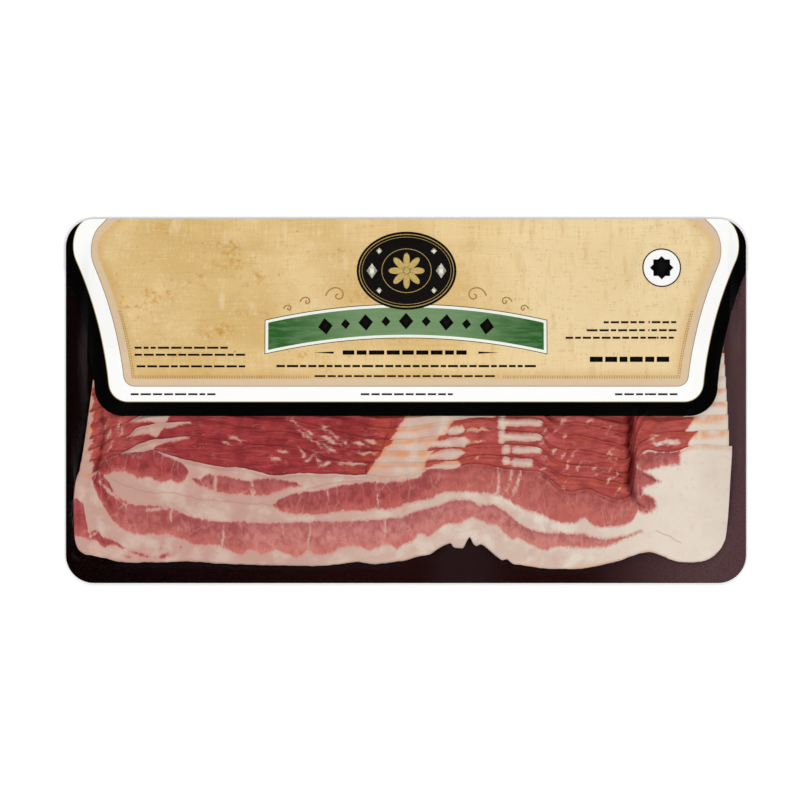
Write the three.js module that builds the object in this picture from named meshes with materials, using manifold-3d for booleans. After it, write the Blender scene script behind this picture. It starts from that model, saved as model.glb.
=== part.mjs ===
import * as THREE from 'three';
import { mergeVertices } from 'three/addons/utils/BufferGeometryUtils.js';
import Module from 'manifold-3d';

// A vacuum-sealed pack of sliced bacon, lying on its back.
// A dark board carries shingled slices. Each slice leans on the one behind it, so that only a strip of its
// back edge shows, and the front slice lies on top in full. A clear film is drawn over the slices and sealed
// to the board all round. A printed label is stuck over the back half of the film.
// Millimetres. X runs along the slices, Y from the pack's front edge to its back edge, and Z is up.
// The origin is on the underside, in the middle of the pack.

// Driving dimensions
const PACK_LENGTH = 254;
const PACK_DEPTH = 136;
const CORNER_RADIUS = 10.5;
const BOARD_THICKNESS = 0.8;
const SLICE_COUNT = 18;
const SLICE_STEP = 4.7;
const SLICE_RISE = 1.74;
const SHOWN_SLICES = 8;
const WIDE_STRIPS = 4;
const FILM_THICKNESS = 0.25;
const LABEL_THICKNESS = 0.3;
const CLEARANCE = 0.3;

// The label's outer edge, on the right: a straight front edge, a round corner and a side that flares out
const LABEL_FRONT = -5.6;
const LABEL_CORNER = 11;
const LABEL_HALF = 116.7;
const LABEL_FLARE = 0.085;
const LABEL_FLARE_GROWTH = 0.0039;

const REST_HEIGHT = BOARD_THICKNESS + CLEARANCE;
const LEFT_END = -124;
const RIGHT_END = 121.6;

const board_colour = 0x2a191b;
const lean_colour = 0xb4605c;
const film_colour = 0xf2f4f5;
const label_colour = 0xdcc092;

// A smooth step from 0 at a to 1 at b
const ease = (a, b, x) => {
  const t = THREE.MathUtils.clamp((x - a) / (b - a), 0, 1);
  return t * t * (3 - 2 * t);
};

// A smooth hump of height 1 at centre, which has all but gone at twice half to either side
const hump = (x, centre, half) => Math.exp(-(((x - centre) / half) ** 2));

// How far an elliptic corner has risen at x, over a width that ends at the slice's end
const roundedEnd = (x, start, end, rise) => {
  const u = THREE.MathUtils.clamp((x - start) / (end - start), 0, 1);
  return rise * (1 - Math.sqrt(1 - u * u));
};

// The line on the board where the pile of slices starts
const pileLine = (x) =>
  -61 + 5.5 * hump(x, 23, 18) + 2.5 * hump(x, 88.5, 10)
  + 3 * ease(-108, -122, x) + roundedEnd(x, 108, RIGHT_END + 1, 30);

// The front slice's front edge: nearly straight, with a bay near the middle and a dip by the fat end. Its
// left corner is cut off at a slant and its right one is round.
const firstEdge = (x) =>
  -61 + 0.9 * ease(-55, -78, x) + 6.8 * hump(x, 26, 9) + 4 * hump(x, 14, 13) - 1.4 * hump(x, 59, 12)
  + 4 * hump(x, 89.5, 8) + 0.9 * ease(75, 95, x) + 0.245 * Math.max(0, -106 - x)
  + roundedEnd(x, -121, LEFT_END, 10) + roundedEnd(x, 108, RIGHT_END, 34);

// The front edge of the k-th slice; those behind the front one start where the pile has room for them
const frontEdge = (x, k = 0) =>
  k > 0 ? Math.max(firstEdge(x), pileLine(x)) + k * SLICE_STEP : firstEdge(x);

// How much wider than the mean the strips in front of the label are. The first of them is far wider left of
// the middle, and narrower at the middle.
const widening = (x) => 0.1 + 0.4 * ease(45, 65, x) + 0.2 * ease(-60, -85, x);
const firstWidening = (x) => 6.2 * hump(x, -62, 26) - 1.8 * hump(x, 8, 20);

// How far both have moved the k-th slice back; it is all taken back until the hindmost one
const moved = (x, k) =>
  widening(x) * Math.min(k, (WIDE_STRIPS * (SLICE_COUNT - 1 - k)) / (SLICE_COUNT - 1 - WIDE_STRIPS))
  + firstWidening(x) * Math.min(k, (SLICE_COUNT - 1 - k) / (SLICE_COUNT - 2));

// The back edge of the k-th slice: two swells at the left and one in the middle, a slope down to the crease,
// and the broad fat end past it
const backEdge = (x, k = 0) =>
  -27.4 + 8.4 * hump(x, -98, 17) + 2.6 * hump(x, -66, 22) + 3.2 * hump(x, 24, 17) - 6 * ease(44, 60, x)
  - 2.3 * ease(64, 74, x) - 3 * hump(x, 87, 5) + 18.9 * ease(86.5, 91.5, x) - 2 * hump(x, 95, 6)
  - roundedEnd(x, -120.5, LEFT_END, 10) + k * SLICE_STEP + moved(x, k);

// How much higher each slice lies than the one behind it. The ends are pressed thin.
const rise = (x) =>
  (SLICE_RISE + 0.33 * hump(x, 76, 12) - 0.26 * ease(84, 98, x) - 0.16 * ease(-60, -95, x))
  * (1 - 0.45 * ease(103, 123, Math.abs(x)));

// The slices' ends step inwards from the front slice to the back one, until the eighth
const leftEnd = (k) => (k > 0 ? -121.2 + 0.77 * Math.min(k - 1, SHOWN_SLICES) : LEFT_END);
const rightEnd = (k) => (k > 0 ? 120.4 - 0.3 * Math.min(k - 1, SHOWN_SLICES) : RIGHT_END);

// How many slices lie under the k-th slice at a point. The first slice, with k = 0, is the front one.
const slicesBelow = (x, y, k) => Math.max(0, (y - pileLine(x)) / SLICE_STEP - k);

// The back edge of the hindmost slice
const lastEdge = (x) => backEdge(x, SLICE_COUNT - 1);

// Height of the pile above its rest height at a point, and 0 beside it; k is about the number of the slice on
// top there
function pileHeight(x, y) {
  const k = Math.max(0, (y - backEdge(x)) / SLICE_STEP);
  if (x < leftEnd(k) || x > rightEnd(k) || y < frontEdge(x) || y > lastEdge(x)) return 0;
  const widest = (backEdge(x, k) - pileLine(x)) / SLICE_STEP - k;
  const behind = (lastEdge(x) - y) / SLICE_STEP;
  return rise(x) * (1 + Math.min(slicesBelow(x, y, 0), widest, behind));
}

// Places from a to b, closer together wherever one of the marks is near
function stations(a, b, count, marks = []) {
  const weight = (x) => 1 + marks.reduce((sum, [mark, half]) => sum + 2.5 * hump(x, mark, half), 0);
  const fine = Array.from({ length: 401 }, (_, i) => a + ((b - a) * i) / 400);
  const reached = [0];
  for (let i = 1; i < fine.length; i++) {
    reached.push(reached[i - 1] + weight((fine[i] + fine[i - 1]) / 2));
  }
  return Array.from({ length: count }, (_, n) => {
    const goal = (reached.at(-1) * n) / (count - 1);
    const i = Math.max(1, reached.findIndex((r) => r >= goal - 1e-9));
    const share = (goal - reached[i - 1]) / (reached[i] - reached[i - 1]);
    return n === count - 1 ? b : fine[i - 1] + share * (fine[i] - fine[i - 1]);
  });
}

// A closed sheet over a grid: rows of points [x, y, low, high], joined above, below and round the rim
function sheet(rows) {
  const across = rows[0].length;
  const points = rows.flat();
  const positions = [];
  for (const level of [3, 2]) {
    for (const point of points) positions.push(point[0], point[1], point[level]);
  }
  const below = points.length;
  const index = [];
  const quad = (a, b, c, d) => index.push(a, b, c, a, c, d);
  for (let i = 0; i + 1 < rows.length; i++) {
    for (let j = 0; j + 1 < across; j++) {
      const a = i * across + j;
      const b = a + across;
      quad(a, b, b + 1, a + 1);
      quad(below + a, below + a + 1, below + b + 1, below + b);
    }
  }
  const wall = (a, b) => quad(a, below + a, below + b, b);
  for (let i = 0; i + 1 < rows.length; i++) {
    wall(i * across, (i + 1) * across);
    wall((i + 2) * across - 1, (i + 1) * across - 1);
  }
  const lastRow = (rows.length - 1) * across;
  for (let j = 0; j + 1 < across; j++) {
    wall(j + 1, j);
    wall(lastRow + j, lastRow + j + 1);
  }
  const geometry = new THREE.BufferGeometry();
  geometry.setAttribute('position', new THREE.Float32BufferAttribute(positions, 3));
  geometry.setIndex(index);
  geometry.computeVertexNormals();
  return geometry;
}

// Places along a slice: the same for all of them, but for the two ends
const common = stations(LEFT_END, RIGHT_END, 36, [[-114, 9], [22, 10], [88, 6], [113, 9]]);
const placesAlong = (k) => [
  leftEnd(k), ...common.filter((x) => x > leftEnd(k) + 1 && x < rightEnd(k) - 1), rightEnd(k),
];

// One slice. Its soft edges are thinner than its middle, and it leans on the slices behind it.
function sliceGeometry(k) {
  const shares = [0, 0.05, 0.5, 0.95, 1];
  const edgeShare = 0.5;
  const places = placesAlong(k);
  return sheet(places.map((x, i) => {
    const front = frontEdge(x, k);
    const back = backEdge(x, k);
    const atEnd = i === 0 || i === places.length - 1;
    return shares.map((share, j) => {
      const y = front + share * (back - front);
      const low = REST_HEIGHT + rise(x) * slicesBelow(x, y, k);
      const atEdge = atEnd || j === 0 || j === shares.length - 1;
      return [x, y, low, low + (rise(x) - CLEARANCE) * (atEdge ? edgeShare : 1)];
    });
  }));
}

// The slices that the label hides, as one solid: a slope under the last shown slice, a level top and a slope
// down to the hindmost slice
function hiddenStackGeometry() {
  const k = SHOWN_SLICES - 1;
  return sheet(placesAlong(k + 1).map((x) => {
    const width = backEdge(x) - pileLine(x);
    const front = pileLine(x) + (k + 0.45) * SLICE_STEP;
    const crest = Math.min(backEdge(x, SHOWN_SLICES), lastEdge(x) - width);
    const brow = Math.max(backEdge(x, SHOWN_SLICES), lastEdge(x) - width);
    const most = Math.min(width / SLICE_STEP + 1, SLICE_COUNT - SHOWN_SLICES);
    return [front, (front + crest) / 2, crest, brow, lastEdge(x)].map((y) => {
      const behind = (lastEdge(x) - y) / SLICE_STEP;
      const layers = Math.min(slicesBelow(x, y, k), behind + 1, most);
      return [x, y, REST_HEIGHT, REST_HEIGHT + rise(x) * layers - CLEARANCE];
    });
  }));
}

// Grid lines for what is drawn over the pile, closer together by the pack's rim
const columns = [
  -130, -126.2, -124.6, ...stations(-122.6, 120.8, 31, [[-120, 6], [88, 7], [119, 6]]), 122.4, 124.6, 130,
];
const rows = [-71, -66.8, -64.6, ...stations(-62.6, 60, 19, [[-61, 5]]), 64, 66.4, 71];

// The highest that the pile reaches in the grid cells round a crossing of the lines
function highestRound(i, j) {
  const samples = 5;
  const [west, east] = [columns[Math.max(i - 1, 0)], columns[Math.min(i + 1, columns.length - 1)]];
  const [south, north] = [rows[Math.max(j - 1, 0)], rows[Math.min(j + 1, rows.length - 1)]];
  let highest = 0;
  for (let a = 0; a <= samples; a++) {
    for (let b = 0; b <= samples; b++) {
      const x = west + ((east - west) * a) / samples;
      const y = south + ((north - south) * b) / samples;
      highest = Math.max(highest, pileHeight(x, y));
    }
  }
  return highest;
}

const drape = columns.map((_, i) => rows.map((_, j) => REST_HEIGHT + highestRound(i, j)));

const wasm = await Module();
wasm.setup();

// A closed three.js geometry as a solid for cutting
function solidOf(geometry) {
  const bare = new THREE.BufferGeometry();
  bare.setAttribute('position', geometry.getAttribute('position'));
  if (geometry.index) bare.setIndex(geometry.index);
  const merged = mergeVertices(bare, 1e-4);
  return new wasm.Manifold(new wasm.Mesh({
    numProp: 3,
    vertProperties: new Float32Array(merged.getAttribute('position').array),
    triVerts: new Uint32Array(merged.index.array),
  }));
}

// A solid back as a three.js geometry
function geometryOf(solid) {
  const mesh = solid.getMesh();
  const geometry = new THREE.BufferGeometry();
  geometry.setAttribute('position', new THREE.Float32BufferAttribute(mesh.vertProperties, mesh.numProp));
  geometry.setIndex(new THREE.BufferAttribute(new Uint32Array(mesh.triVerts), 1));
  geometry.computeVertexNormals();
  return geometry;
}

// The pack's outline, a rectangle with round corners
function packOutline() {
  const [x, y, r] = [PACK_LENGTH / 2, PACK_DEPTH / 2, CORNER_RADIUS];
  const outline = new THREE.Shape();
  outline.moveTo(-x + r, -y);
  outline.lineTo(x - r, -y);
  outline.absarc(x - r, -y + r, r, -Math.PI / 2, 0);
  outline.absarc(x - r, y - r, r, 0, Math.PI / 2);
  outline.absarc(-x + r, y - r, r, Math.PI / 2, Math.PI);
  outline.absarc(-x + r, -y + r, r, Math.PI, (3 * Math.PI) / 2);
  return outline;
}

// The label's side, right of the middle, at a distance behind the round front corner
const labelSide = (y) => {
  const past = y - (LABEL_FRONT + LABEL_CORNER);
  return LABEL_HALF + LABEL_FLARE * past + LABEL_FLARE_GROWTH * past * past;
};

// The label's outline, which runs out past the pack's back corners and is trimmed with them
function labelOutline() {
  const shoulder = LABEL_FRONT + LABEL_CORNER;
  const centre = LABEL_HALF - LABEL_CORNER;
  const side = stations(shoulder, 50, 9).slice(1).map((y) => [labelSide(y), y]);
  const past = PACK_DEPTH / 2 + 5;
  const outline = new THREE.Shape();
  outline.moveTo(-centre, LABEL_FRONT);
  outline.lineTo(centre, LABEL_FRONT);
  outline.absarc(centre, shoulder, LABEL_CORNER, -Math.PI / 2, 0);
  for (const [x, y] of side) outline.lineTo(x, y);
  outline.lineTo(side.at(-1)[0], past);
  outline.lineTo(-side.at(-1)[0], past);
  for (const [x, y] of side.reverse()) outline.lineTo(-x, y);
  outline.absarc(-centre, shoulder, LABEL_CORNER, Math.PI, (3 * Math.PI) / 2);
  return outline;
}

// An outline as an upright solid, tall enough to trim with or as thin as the board
const upright = (outline, height) =>
  solidOf(new THREE.ExtrudeGeometry(outline, { depth: height, bevelEnabled: false, curveSegments: 7 }));

// A thin layer drawn over the pile, a lift above it, trimmed to an outline
function drapedLayer(lift, thickness, ...outlines) {
  const layer = sheet(columns.map((x, i) => rows.map((y, j) => {
    const low = drape[i][j] + lift;
    return [x, y, low, low + thickness];
  })));
  const trimHeight = 40;
  return outlines.reduce((cut, outline) => cut.intersect(upright(outline, trimHeight)), solidOf(layer));
}

const pack = new THREE.Group();
pack.name = 'bacon_pack';

function addPiece(name, geometry, colour, roughness, more = {}) {
  const material = new THREE.MeshStandardMaterial({ color: colour, roughness, metalness: 0, ...more });
  const mesh = new THREE.Mesh(geometry, material);
  mesh.name = name;
  pack.add(mesh);
}

addPiece('backing_board', geometryOf(upright(packOutline(), BOARD_THICKNESS)), board_colour, 0.45);

for (let k = 0; k < SHOWN_SLICES; k++) {
  addPiece(`bacon_slice_${k + 1}`, sliceGeometry(k), lean_colour, 0.5);
}
addPiece('hidden_bacon_stack', hiddenStackGeometry(), lean_colour, 0.5);

const film = drapedLayer(0, FILM_THICKNESS, packOutline());
addPiece('clear_film', geometryOf(film), film_colour, 0.1, { transparent: true, opacity: 0.25 });

const label = drapedLayer(FILM_THICKNESS + CLEARANCE, LABEL_THICKNESS, packOutline(), labelOutline());
addPiece('label', geometryOf(label), label_colour, 0.4);

export default pack;
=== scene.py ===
# %% [markdown]
# # A sealed pack of sliced bacon, seen from above
# The real pack is a dark coated board with a shingle of slices on it: each slice leans on the one behind it,
# so only a strip of its back edge shows, and the front slice lies on top in full. A clear film is drawn over
# the slices by vacuum and welded to the board all round, and a printed label covers the back half. The CAD
# frame gives the solids in their real places. Here the slices, the film and the label are replaced by fine
# surfaces worked out with numpy, because their relief and marbling are far below the CAD's triangles.

# %% Loading the fixed frame
import math

import bpy
import numpy as np
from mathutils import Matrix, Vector


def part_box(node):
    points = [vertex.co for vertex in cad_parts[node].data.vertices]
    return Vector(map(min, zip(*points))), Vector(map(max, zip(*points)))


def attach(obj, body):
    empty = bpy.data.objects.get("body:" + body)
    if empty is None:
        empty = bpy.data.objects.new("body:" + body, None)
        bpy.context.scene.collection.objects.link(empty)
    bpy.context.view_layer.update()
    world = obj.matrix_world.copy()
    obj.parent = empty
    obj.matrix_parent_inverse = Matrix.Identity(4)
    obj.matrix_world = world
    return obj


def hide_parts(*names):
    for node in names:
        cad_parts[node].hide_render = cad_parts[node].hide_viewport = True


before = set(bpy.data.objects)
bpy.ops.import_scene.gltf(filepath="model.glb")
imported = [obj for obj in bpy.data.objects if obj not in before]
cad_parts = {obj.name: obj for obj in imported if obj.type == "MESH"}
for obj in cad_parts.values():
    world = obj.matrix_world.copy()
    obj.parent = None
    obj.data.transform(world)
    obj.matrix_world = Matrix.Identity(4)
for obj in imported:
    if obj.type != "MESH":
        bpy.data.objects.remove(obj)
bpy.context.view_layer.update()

MM = 0.001
board_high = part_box("backing_board")[1]
pack_half = (board_high.x / MM, board_high.y / MM)
board_top = board_high.z / MM
print("pack half size, mm:", [round(v, 2) for v in pack_half], "board top, mm:", round(board_top, 2))

# %% [markdown]
# ## Small tools for shapes
# Everything below is a function of two coordinates, in millimetres: x along the slices and y from the front
# of the pack to the back. Two building blocks shape nearly all of it: a smooth step and a smooth hump. A
# third gives seeded random ground, for what grew rather than was made.

# %% Steps, humps, curves and noise
def ease(low, high, x):
    """0 below low, 1 above high and an S-curve between: t squared times (3 minus 2t)."""
    t = np.clip((x - low) / (high - low), 0, 1)
    return t * t * (3 - 2 * t)


def hump(x, centre, half):
    """A bell of height 1: e to the minus square of the distance from centre over half."""
    return np.exp(-(((x - centre) / half) ** 2))


def rounded_end(x, start, end, rise):
    """How far an elliptic corner has risen at x: rise times (1 minus the square root of 1 minus u
    squared)."""
    u = np.clip((x - start) / (end - start), 0, 1)
    return rise * (1 - np.sqrt(1 - u * u))


def curve_through(points, x):
    """A smooth curve through a few points: cubic pieces whose slopes are the points' central differences."""
    px, py = np.array(points, float).T
    slope = np.gradient(py, px)
    i = np.clip(np.searchsorted(px, x) - 1, 0, len(px) - 2)
    width = px[i + 1] - px[i]
    t = np.clip((x - px[i]) / width, 0, 1)
    rise = (3 - 2 * t) * t * t
    lean_in = slope[i] * width * t * (1 - t) ** 2
    lean_out = slope[i + 1] * width * t * t * (t - 1)
    return py[i] * (1 - rise) + py[i + 1] * rise + lean_in + lean_out


def ground(x, y, cell, seed):
    """Smooth random values from -1 to 1: numbers on a lattice of that cell, blended by S-curves in
    between."""
    size = 256
    table = np.random.default_rng(seed).uniform(-1, 1, (size, size))
    gx, gy = np.broadcast_arrays(x / cell + 97.3, y / cell + 53.1)
    ix, iy = np.floor(gx).astype(int), np.floor(gy).astype(int)
    sx, sy = ease(0, 1, gx - ix), ease(0, 1, gy - iy)
    near = table[ix % size, iy % size] * (1 - sx) + table[(ix + 1) % size, iy % size] * sx
    far = table[ix % size, (iy + 1) % size] * (1 - sx) + table[(ix + 1) % size, (iy + 1) % size] * sx
    return near * (1 - sy) + far * sy


def rounded(u, v, radius):
    """Distance inside a corner between two edges at distances u and v, with that radius."""
    corner = radius - np.hypot(np.maximum(radius - u, 0), np.maximum(radius - v, 0))
    return np.where((u < radius) & (v < radius), corner, np.minimum(u, v))


def edge_dense(low, high, rim, rim_count, middle_count):
    """Places from low to high: quarter-circle spacing within the rims, so round edges are fine, even between.
    low and high may be arrays; the places run along a new last axis."""
    low, high = np.asarray(low, float)[..., None], np.asarray(high, float)[..., None]
    arc = 1 - np.cos(np.linspace(0, math.pi / 2, rim_count + 1))
    middle = np.linspace(0, 1, middle_count + 2)[1:-1]
    inner = low + rim + (high - low - 2 * rim) * middle
    return np.concatenate([low + rim * arc, inner, high - rim * arc[::-1]], -1)


three_seeds = [round(float(ground(0.0, 0.0, 5, seed)), 2) for seed in (1, 2, 3)]
print("ground at one place, by three seeds:", three_seeds)

# %% [markdown]
# ## From arrays to meshes
# Slices, film and label are all closed sheets: an upper and a lower grid of points that share their rim. One
# function makes them all. It also stores fields, numbers at each point that the materials read, such as how
# deep a point lies in lean meat. The materials sharpen them with noise, so print and marbling stay crisp on a
# grid of half a millimetre.

# %% Closed sheets
def put_in_mesh(name, points, faces, fields=None):
    """A mesh object from an array of points, in millimetres, and an array of four-cornered faces."""
    mesh = bpy.data.meshes.new(name)
    mesh.vertices.add(len(points))
    mesh.vertices.foreach_set("co", (points * MM).astype(np.float32).ravel())
    mesh.loops.add(faces.size)
    mesh.loops.foreach_set("vertex_index", faces.astype(np.int32).ravel())
    mesh.polygons.add(len(faces))
    mesh.polygons.foreach_set("loop_start", np.arange(0, faces.size, 4, dtype=np.int32))
    mesh.polygons.foreach_set("use_smooth", np.ones(len(faces), bool))
    mesh.update(calc_edges=True)
    for key, values in (fields or {}).items():
        stored = mesh.attributes.new(key, "FLOAT", "POINT")
        stored.data.foreach_set("value", values.astype(np.float32).ravel())
    piece = bpy.data.objects.new(name, mesh)
    bpy.context.scene.collection.objects.link(piece)
    print(f"{name}: {len(points)} points, {2 * len(faces)} triangles")
    return piece


def grid_faces(index):
    """Four-cornered faces of a grid of point numbers, turned to face up where x runs along the first axis."""
    corners = [index[:-1, :-1], index[1:, :-1], index[1:, 1:], index[:-1, 1:]]
    return np.stack(corners, -1).reshape(-1, 4)


def sheet_parts(rows, columns, looped=False):
    """Which points of a grid aren't on its rim, and the faces of a sheet with an upper and a lower grid. The
    upper grid's points come first, then the lower one's without its rim, which is the upper one's. A looped
    sheet's last row is joined to its first."""
    inner = np.ones((rows, columns), bool)
    inner[:, [0, -1]] = False
    if not looped:
        inner[[0, -1]] = False
    above = np.arange(rows * columns).reshape(rows, columns)
    below = above.copy()
    below[inner] = above.size + np.arange(inner.sum())
    if looped:
        above, below = np.concatenate([above, above[:1]]), np.concatenate([below, below[:1]])
    return inner, np.concatenate([grid_faces(above), grid_faces(below)[:, ::-1]])


def closed_sheet(name, x, y, top, bottom, fields=None):
    """A thin body from two height grids over the same x and y."""
    inner, faces = sheet_parts(*x.shape)
    upper = np.stack([x, y, top], -1).reshape(-1, 3)
    lower = np.stack([x, y, bottom], -1)[inner]
    both = {key: np.concatenate([values.ravel(), values[inner]]) for key, values in (fields or {}).items()}
    return put_in_mesh(name, np.concatenate([upper, lower]), faces, both)


# %% [markdown]
# ## Places taken from the photo
# The photo looks straight down on the pack, so one number turns its pixels into millimetres. Outlines of the
# slices and of their lean are short lists of points, read off every few millimetres; curves through
# them give all the places in between.

# %% Pixels to millimetres
PHOTO_SIZE = 800
PHOTO_SCALE = 0.37353
PACK_CENTRE = (406, 401)


def from_photo(points):
    """Points read from the photo, in pixels, as places on the pack: steps from its centre, by the scale."""
    px, py = np.array(points, float).T
    return np.stack([(px - PACK_CENTRE[0]) * PHOTO_SCALE, (PACK_CENTRE[1] - py) * PHOTO_SCALE], -1)


def line_at(points, x):
    """The y of a line read from the photo at places x along the pack."""
    return curve_through(from_photo(points), x)


print("width of the photo on the pack, mm:", round(PHOTO_SIZE * PHOTO_SCALE, 1))

# %% [markdown]
# ## The pile
# The slices' heights repeat the frame's formulas. Their edges are the photo's, with the small irregularities
# of cut meat added. A place on the pile is (k, x, y): k counts the slices from the front one, 0, to the last.
# The belly was folded once before it was sliced, so every slice has the same crease near its fat end, and the
# edges jump there.

# %% Sizes of the pile
SLICE_COUNT = 18
SHOWN_SLICES = 8      # as many show in front of the label
SLICE_STEP = 4.7      # from one slice's back edge to the next
SLICE_RISE = 1.74     # how much higher a slice lies than the one behind it
SLICE_GAP = 0.06      # between one slice and the next
SOFT_RIM = 0.95       # how far in the round edges reach, in front and at the ends
BACK_RIM = 2.0        # and at the back
LEFT_END, RIGHT_END = -124, 121.6             # the front slice's ends
STRIPS_LEFT, STRIPS_RIGHT = -121.2, 120.4     # the first strip's ends
END_STEP, RIGHT_STEP = 0.77, 0.3              # each further strip's ends lie that much further in
CLEARANCE = 0.3       # between the board and the pile, as in the frame
rest_height = board_top + CLEARANCE
print("slices:", SLICE_COUNT, "of which show:", SHOWN_SLICES, "lowest at, mm:", round(rest_height, 2))

# %% Outlines of the slices
FRONT_EDGE = [(74, 520), (74.8, 536), (76, 543), (78, 548.5), (81, 551.8), (92, 555.5), (108, 559),
              (118, 561.6), (150, 562.3), (200, 561.8), (215, 563.2), (240, 564.5), (290, 565.3),
              (320, 565.8), (337, 564.2), (360, 562.2), (372, 564.2), (390, 562.5), (404, 560.7),
              (420, 556.2), (431, 553.8), (436, 550.4), (447, 544.6), (451, 543.6), (453.5, 546.6),
              (459, 547.8), (464, 546.8), (467.5, 540), (469.7, 537), (472.4, 542.5), (477, 546),
              (480, 544.3), (486.4, 548), (493, 553.8), (502.5, 560.2), (507.5, 559.8), (511, 563),
              (521, 564.8), (539, 567.8), (564, 569.2), (590, 567.6), (608, 563.7), (620, 560.7),
              (629, 557.2), (640, 553.4), (649, 552.2), (658, 554.4), (670, 559.4), (684, 562.5),
              (695, 562.4), (709, 559.3), (718, 551.5), (723, 544), (726.3, 533), (728.6, 506), (730, 478),
              (731.5, 455)]
BACK_EDGES = [
    [(74, 500), (75.5, 486), (77.5, 477), (80, 471.5), (88, 472.5), (99.5, 467.7), (105, 461.5), (111, 457.5),
     (126, 453), (142, 451.3), (154, 449.5), (161, 451.3), (168.4, 454.3), (181, 458.3), (200, 462.5),
     (225, 466.8), (240, 467.6), (256, 470.5), (272, 474.8), (300, 473.3), (345, 474.4), (362, 474.8),
     (385, 476.8), (400, 476.3), (410, 474), (421, 470.4), (430, 469), (456, 468.4), (464, 464.4),
     (482, 464.4), (500, 467.4), (525, 469.6), (536, 470.5), (544, 474), (555.7, 484.3), (562, 489),
     (592, 489.4), (601, 494.3), (626, 497), (630, 494), (633, 478), (635.5, 460), (640, 453.5), (660, 451.8),
     (677, 450.6), (685, 447), (731.5, 446)],
    [(80, 462), (99, 459), (111, 452), (126, 450.7), (131, 448.5), (136.5, 445), (149, 440.5), (168, 438.2),
     (188, 436), (209, 438.6), (225, 440.5), (249, 443.9), (285, 446.3), (300, 448.7), (320, 455.5),
     (344, 462), (366, 462.5), (410, 463), (426, 463), (440, 460.6), (456, 460.6), (466, 456.5), (482, 454.8),
     (502, 455.5), (525, 457.8), (534, 459.6), (542, 465.2), (551, 469.2), (560.5, 475), (575, 476.4),
     (592, 478.5), (601, 481), (614, 482), (625, 483), (629, 479), (632, 462), (635, 449), (640, 443.2),
     (648, 438.4), (655, 434.6), (677, 432), (700, 430.5), (731, 430)],
    [(80, 452), (99, 447), (111, 440), (122, 436.5), (130, 435), (136.5, 428.5), (149, 425), (175, 421.8),
     (188, 421), (218, 423.3), (239, 427), (266, 430.5), (285, 431.4), (295, 433.8), (315, 440), (345, 449),
     (371, 451), (410, 451.5), (426, 451), (447, 447.8), (463, 447.2), (475, 444.4), (502, 444), (525, 445.2),
     (535, 446.8), (541.5, 449.4), (551, 457.7), (560, 462), (575, 464.4), (592, 466.5), (601, 470.3),
     (614, 471.6), (625, 472.5), (629, 469), (632, 452), (635, 434), (639, 424.6),
     (660, 419.3), (688, 416.3), (731, 414.2)],
    [(80, 440), (99, 435), (111, 428.5), (126, 423), (135, 418.5), (143, 415.4), (165, 411.5), (188, 409),
     (218, 410.5), (239, 413.5), (266, 417), (295, 420.5), (330, 430), (371, 438.5), (410, 439.2),
     (426, 437.5), (440, 435.8), (460, 434), (468, 430), (482, 428.4), (502, 430.5), (525, 432), (535, 433),
     (541.5, 436), (549, 444.4), (562, 449.3), (575, 449.6), (592, 452.5), (614, 457.5), (625, 459),
     (629, 455), (632, 440), (635, 420), (639, 411.5), (660, 406.5), (688, 403.5), (731, 401.3)],
    [(80, 428), (99, 423), (111, 416), (126, 411), (143, 403), (188, 396.5), (239, 401), (295, 408),
     (345, 418), (371, 426.5), (410, 427), (426, 425), (440, 423), (460, 420), (475, 417.5), (502, 418),
     (525, 418), (535, 418.8), (541.5, 421.4), (549, 428.6), (562, 435.6), (575, 434.9), (592, 438.5),
     (614, 443.5), (625, 445), (629, 441), (632, 425), (635, 406), (639, 399), (660, 394), (688, 390.5),
     (731, 388.5)],
]
FOLLOWED = len(BACK_EDGES) - 1
print("points on the front slice's outline:", len(FRONT_EDGE) + len(BACK_EDGES[0]), "back edges followed:",
      len(BACK_EDGES))

# %% Edges of the slices
def left_end(k):
    """The x of a slice's left end: the strips' ends lie each END_STEP further in."""
    return LEFT_END if k == 0 else STRIPS_LEFT + END_STEP * (k - 1)


def right_end(k):
    """The x of a slice's right end: the strips' ends lie each RIGHT_STEP further in."""
    return RIGHT_END if k == 0 else STRIPS_RIGHT - RIGHT_STEP * (k - 1)


def pile_line(x):
    """The line on the board where the pile starts: a bay, a small one to its right, and rounded corners."""
    bays = 5.5 * hump(x, 23, 18) + 2.5 * hump(x, 88.5, 10)
    return -61 + bays + 3 * ease(108, 122, -x) + rounded_end(x, 108, RIGHT_END + 1, 30)


def front_edge(k, x):
    """The front slice's front edge, a little ragged. The slices behind start on the pile's own slope."""
    ragged = 0.14 * ground(x, 0 * x, 3.1, 11) + 0.1 * ground(x, 0 * x, 1.2, 12)
    first = line_at(FRONT_EDGE, x) + ragged
    return first if k == 0 else np.maximum(first, pile_line(x)) + k * SLICE_STEP


def frame_edge(k, x):
    """The back edge that the frame gives slice k: two swells at the left and one in the middle, a slope down
    to the crease and the broad fat end past it; the strips in front of the label are a little wider."""
    swells = 8.4 * hump(x, -98, 17) + 2.6 * hump(x, -66, 22) + 3.2 * hump(x, 24, 17)
    crease = -6 * ease(44, 60, x) - 2.3 * ease(64, 74, x) - 3 * hump(x, 87, 5) - 2 * hump(x, 95, 6)
    fat_end = 18.9 * ease(86.5, 91.5, x) - rounded_end(x, -120.5, LEFT_END, 10)
    behind = SLICE_COUNT - 1 - k
    wider = (0.1 + 0.4 * ease(45, 65, x) + 0.2 * ease(-60, -85, x)) * min(k, 4 * behind / (SLICE_COUNT - 5))
    first = (6.2 * hump(x, -62, 26) - 1.8 * hump(x, 8, 20)) * min(k, behind / (SLICE_COUNT - 2))
    return -27.4 + swells + crease + fat_end + wider + first + k * SLICE_STEP


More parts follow.
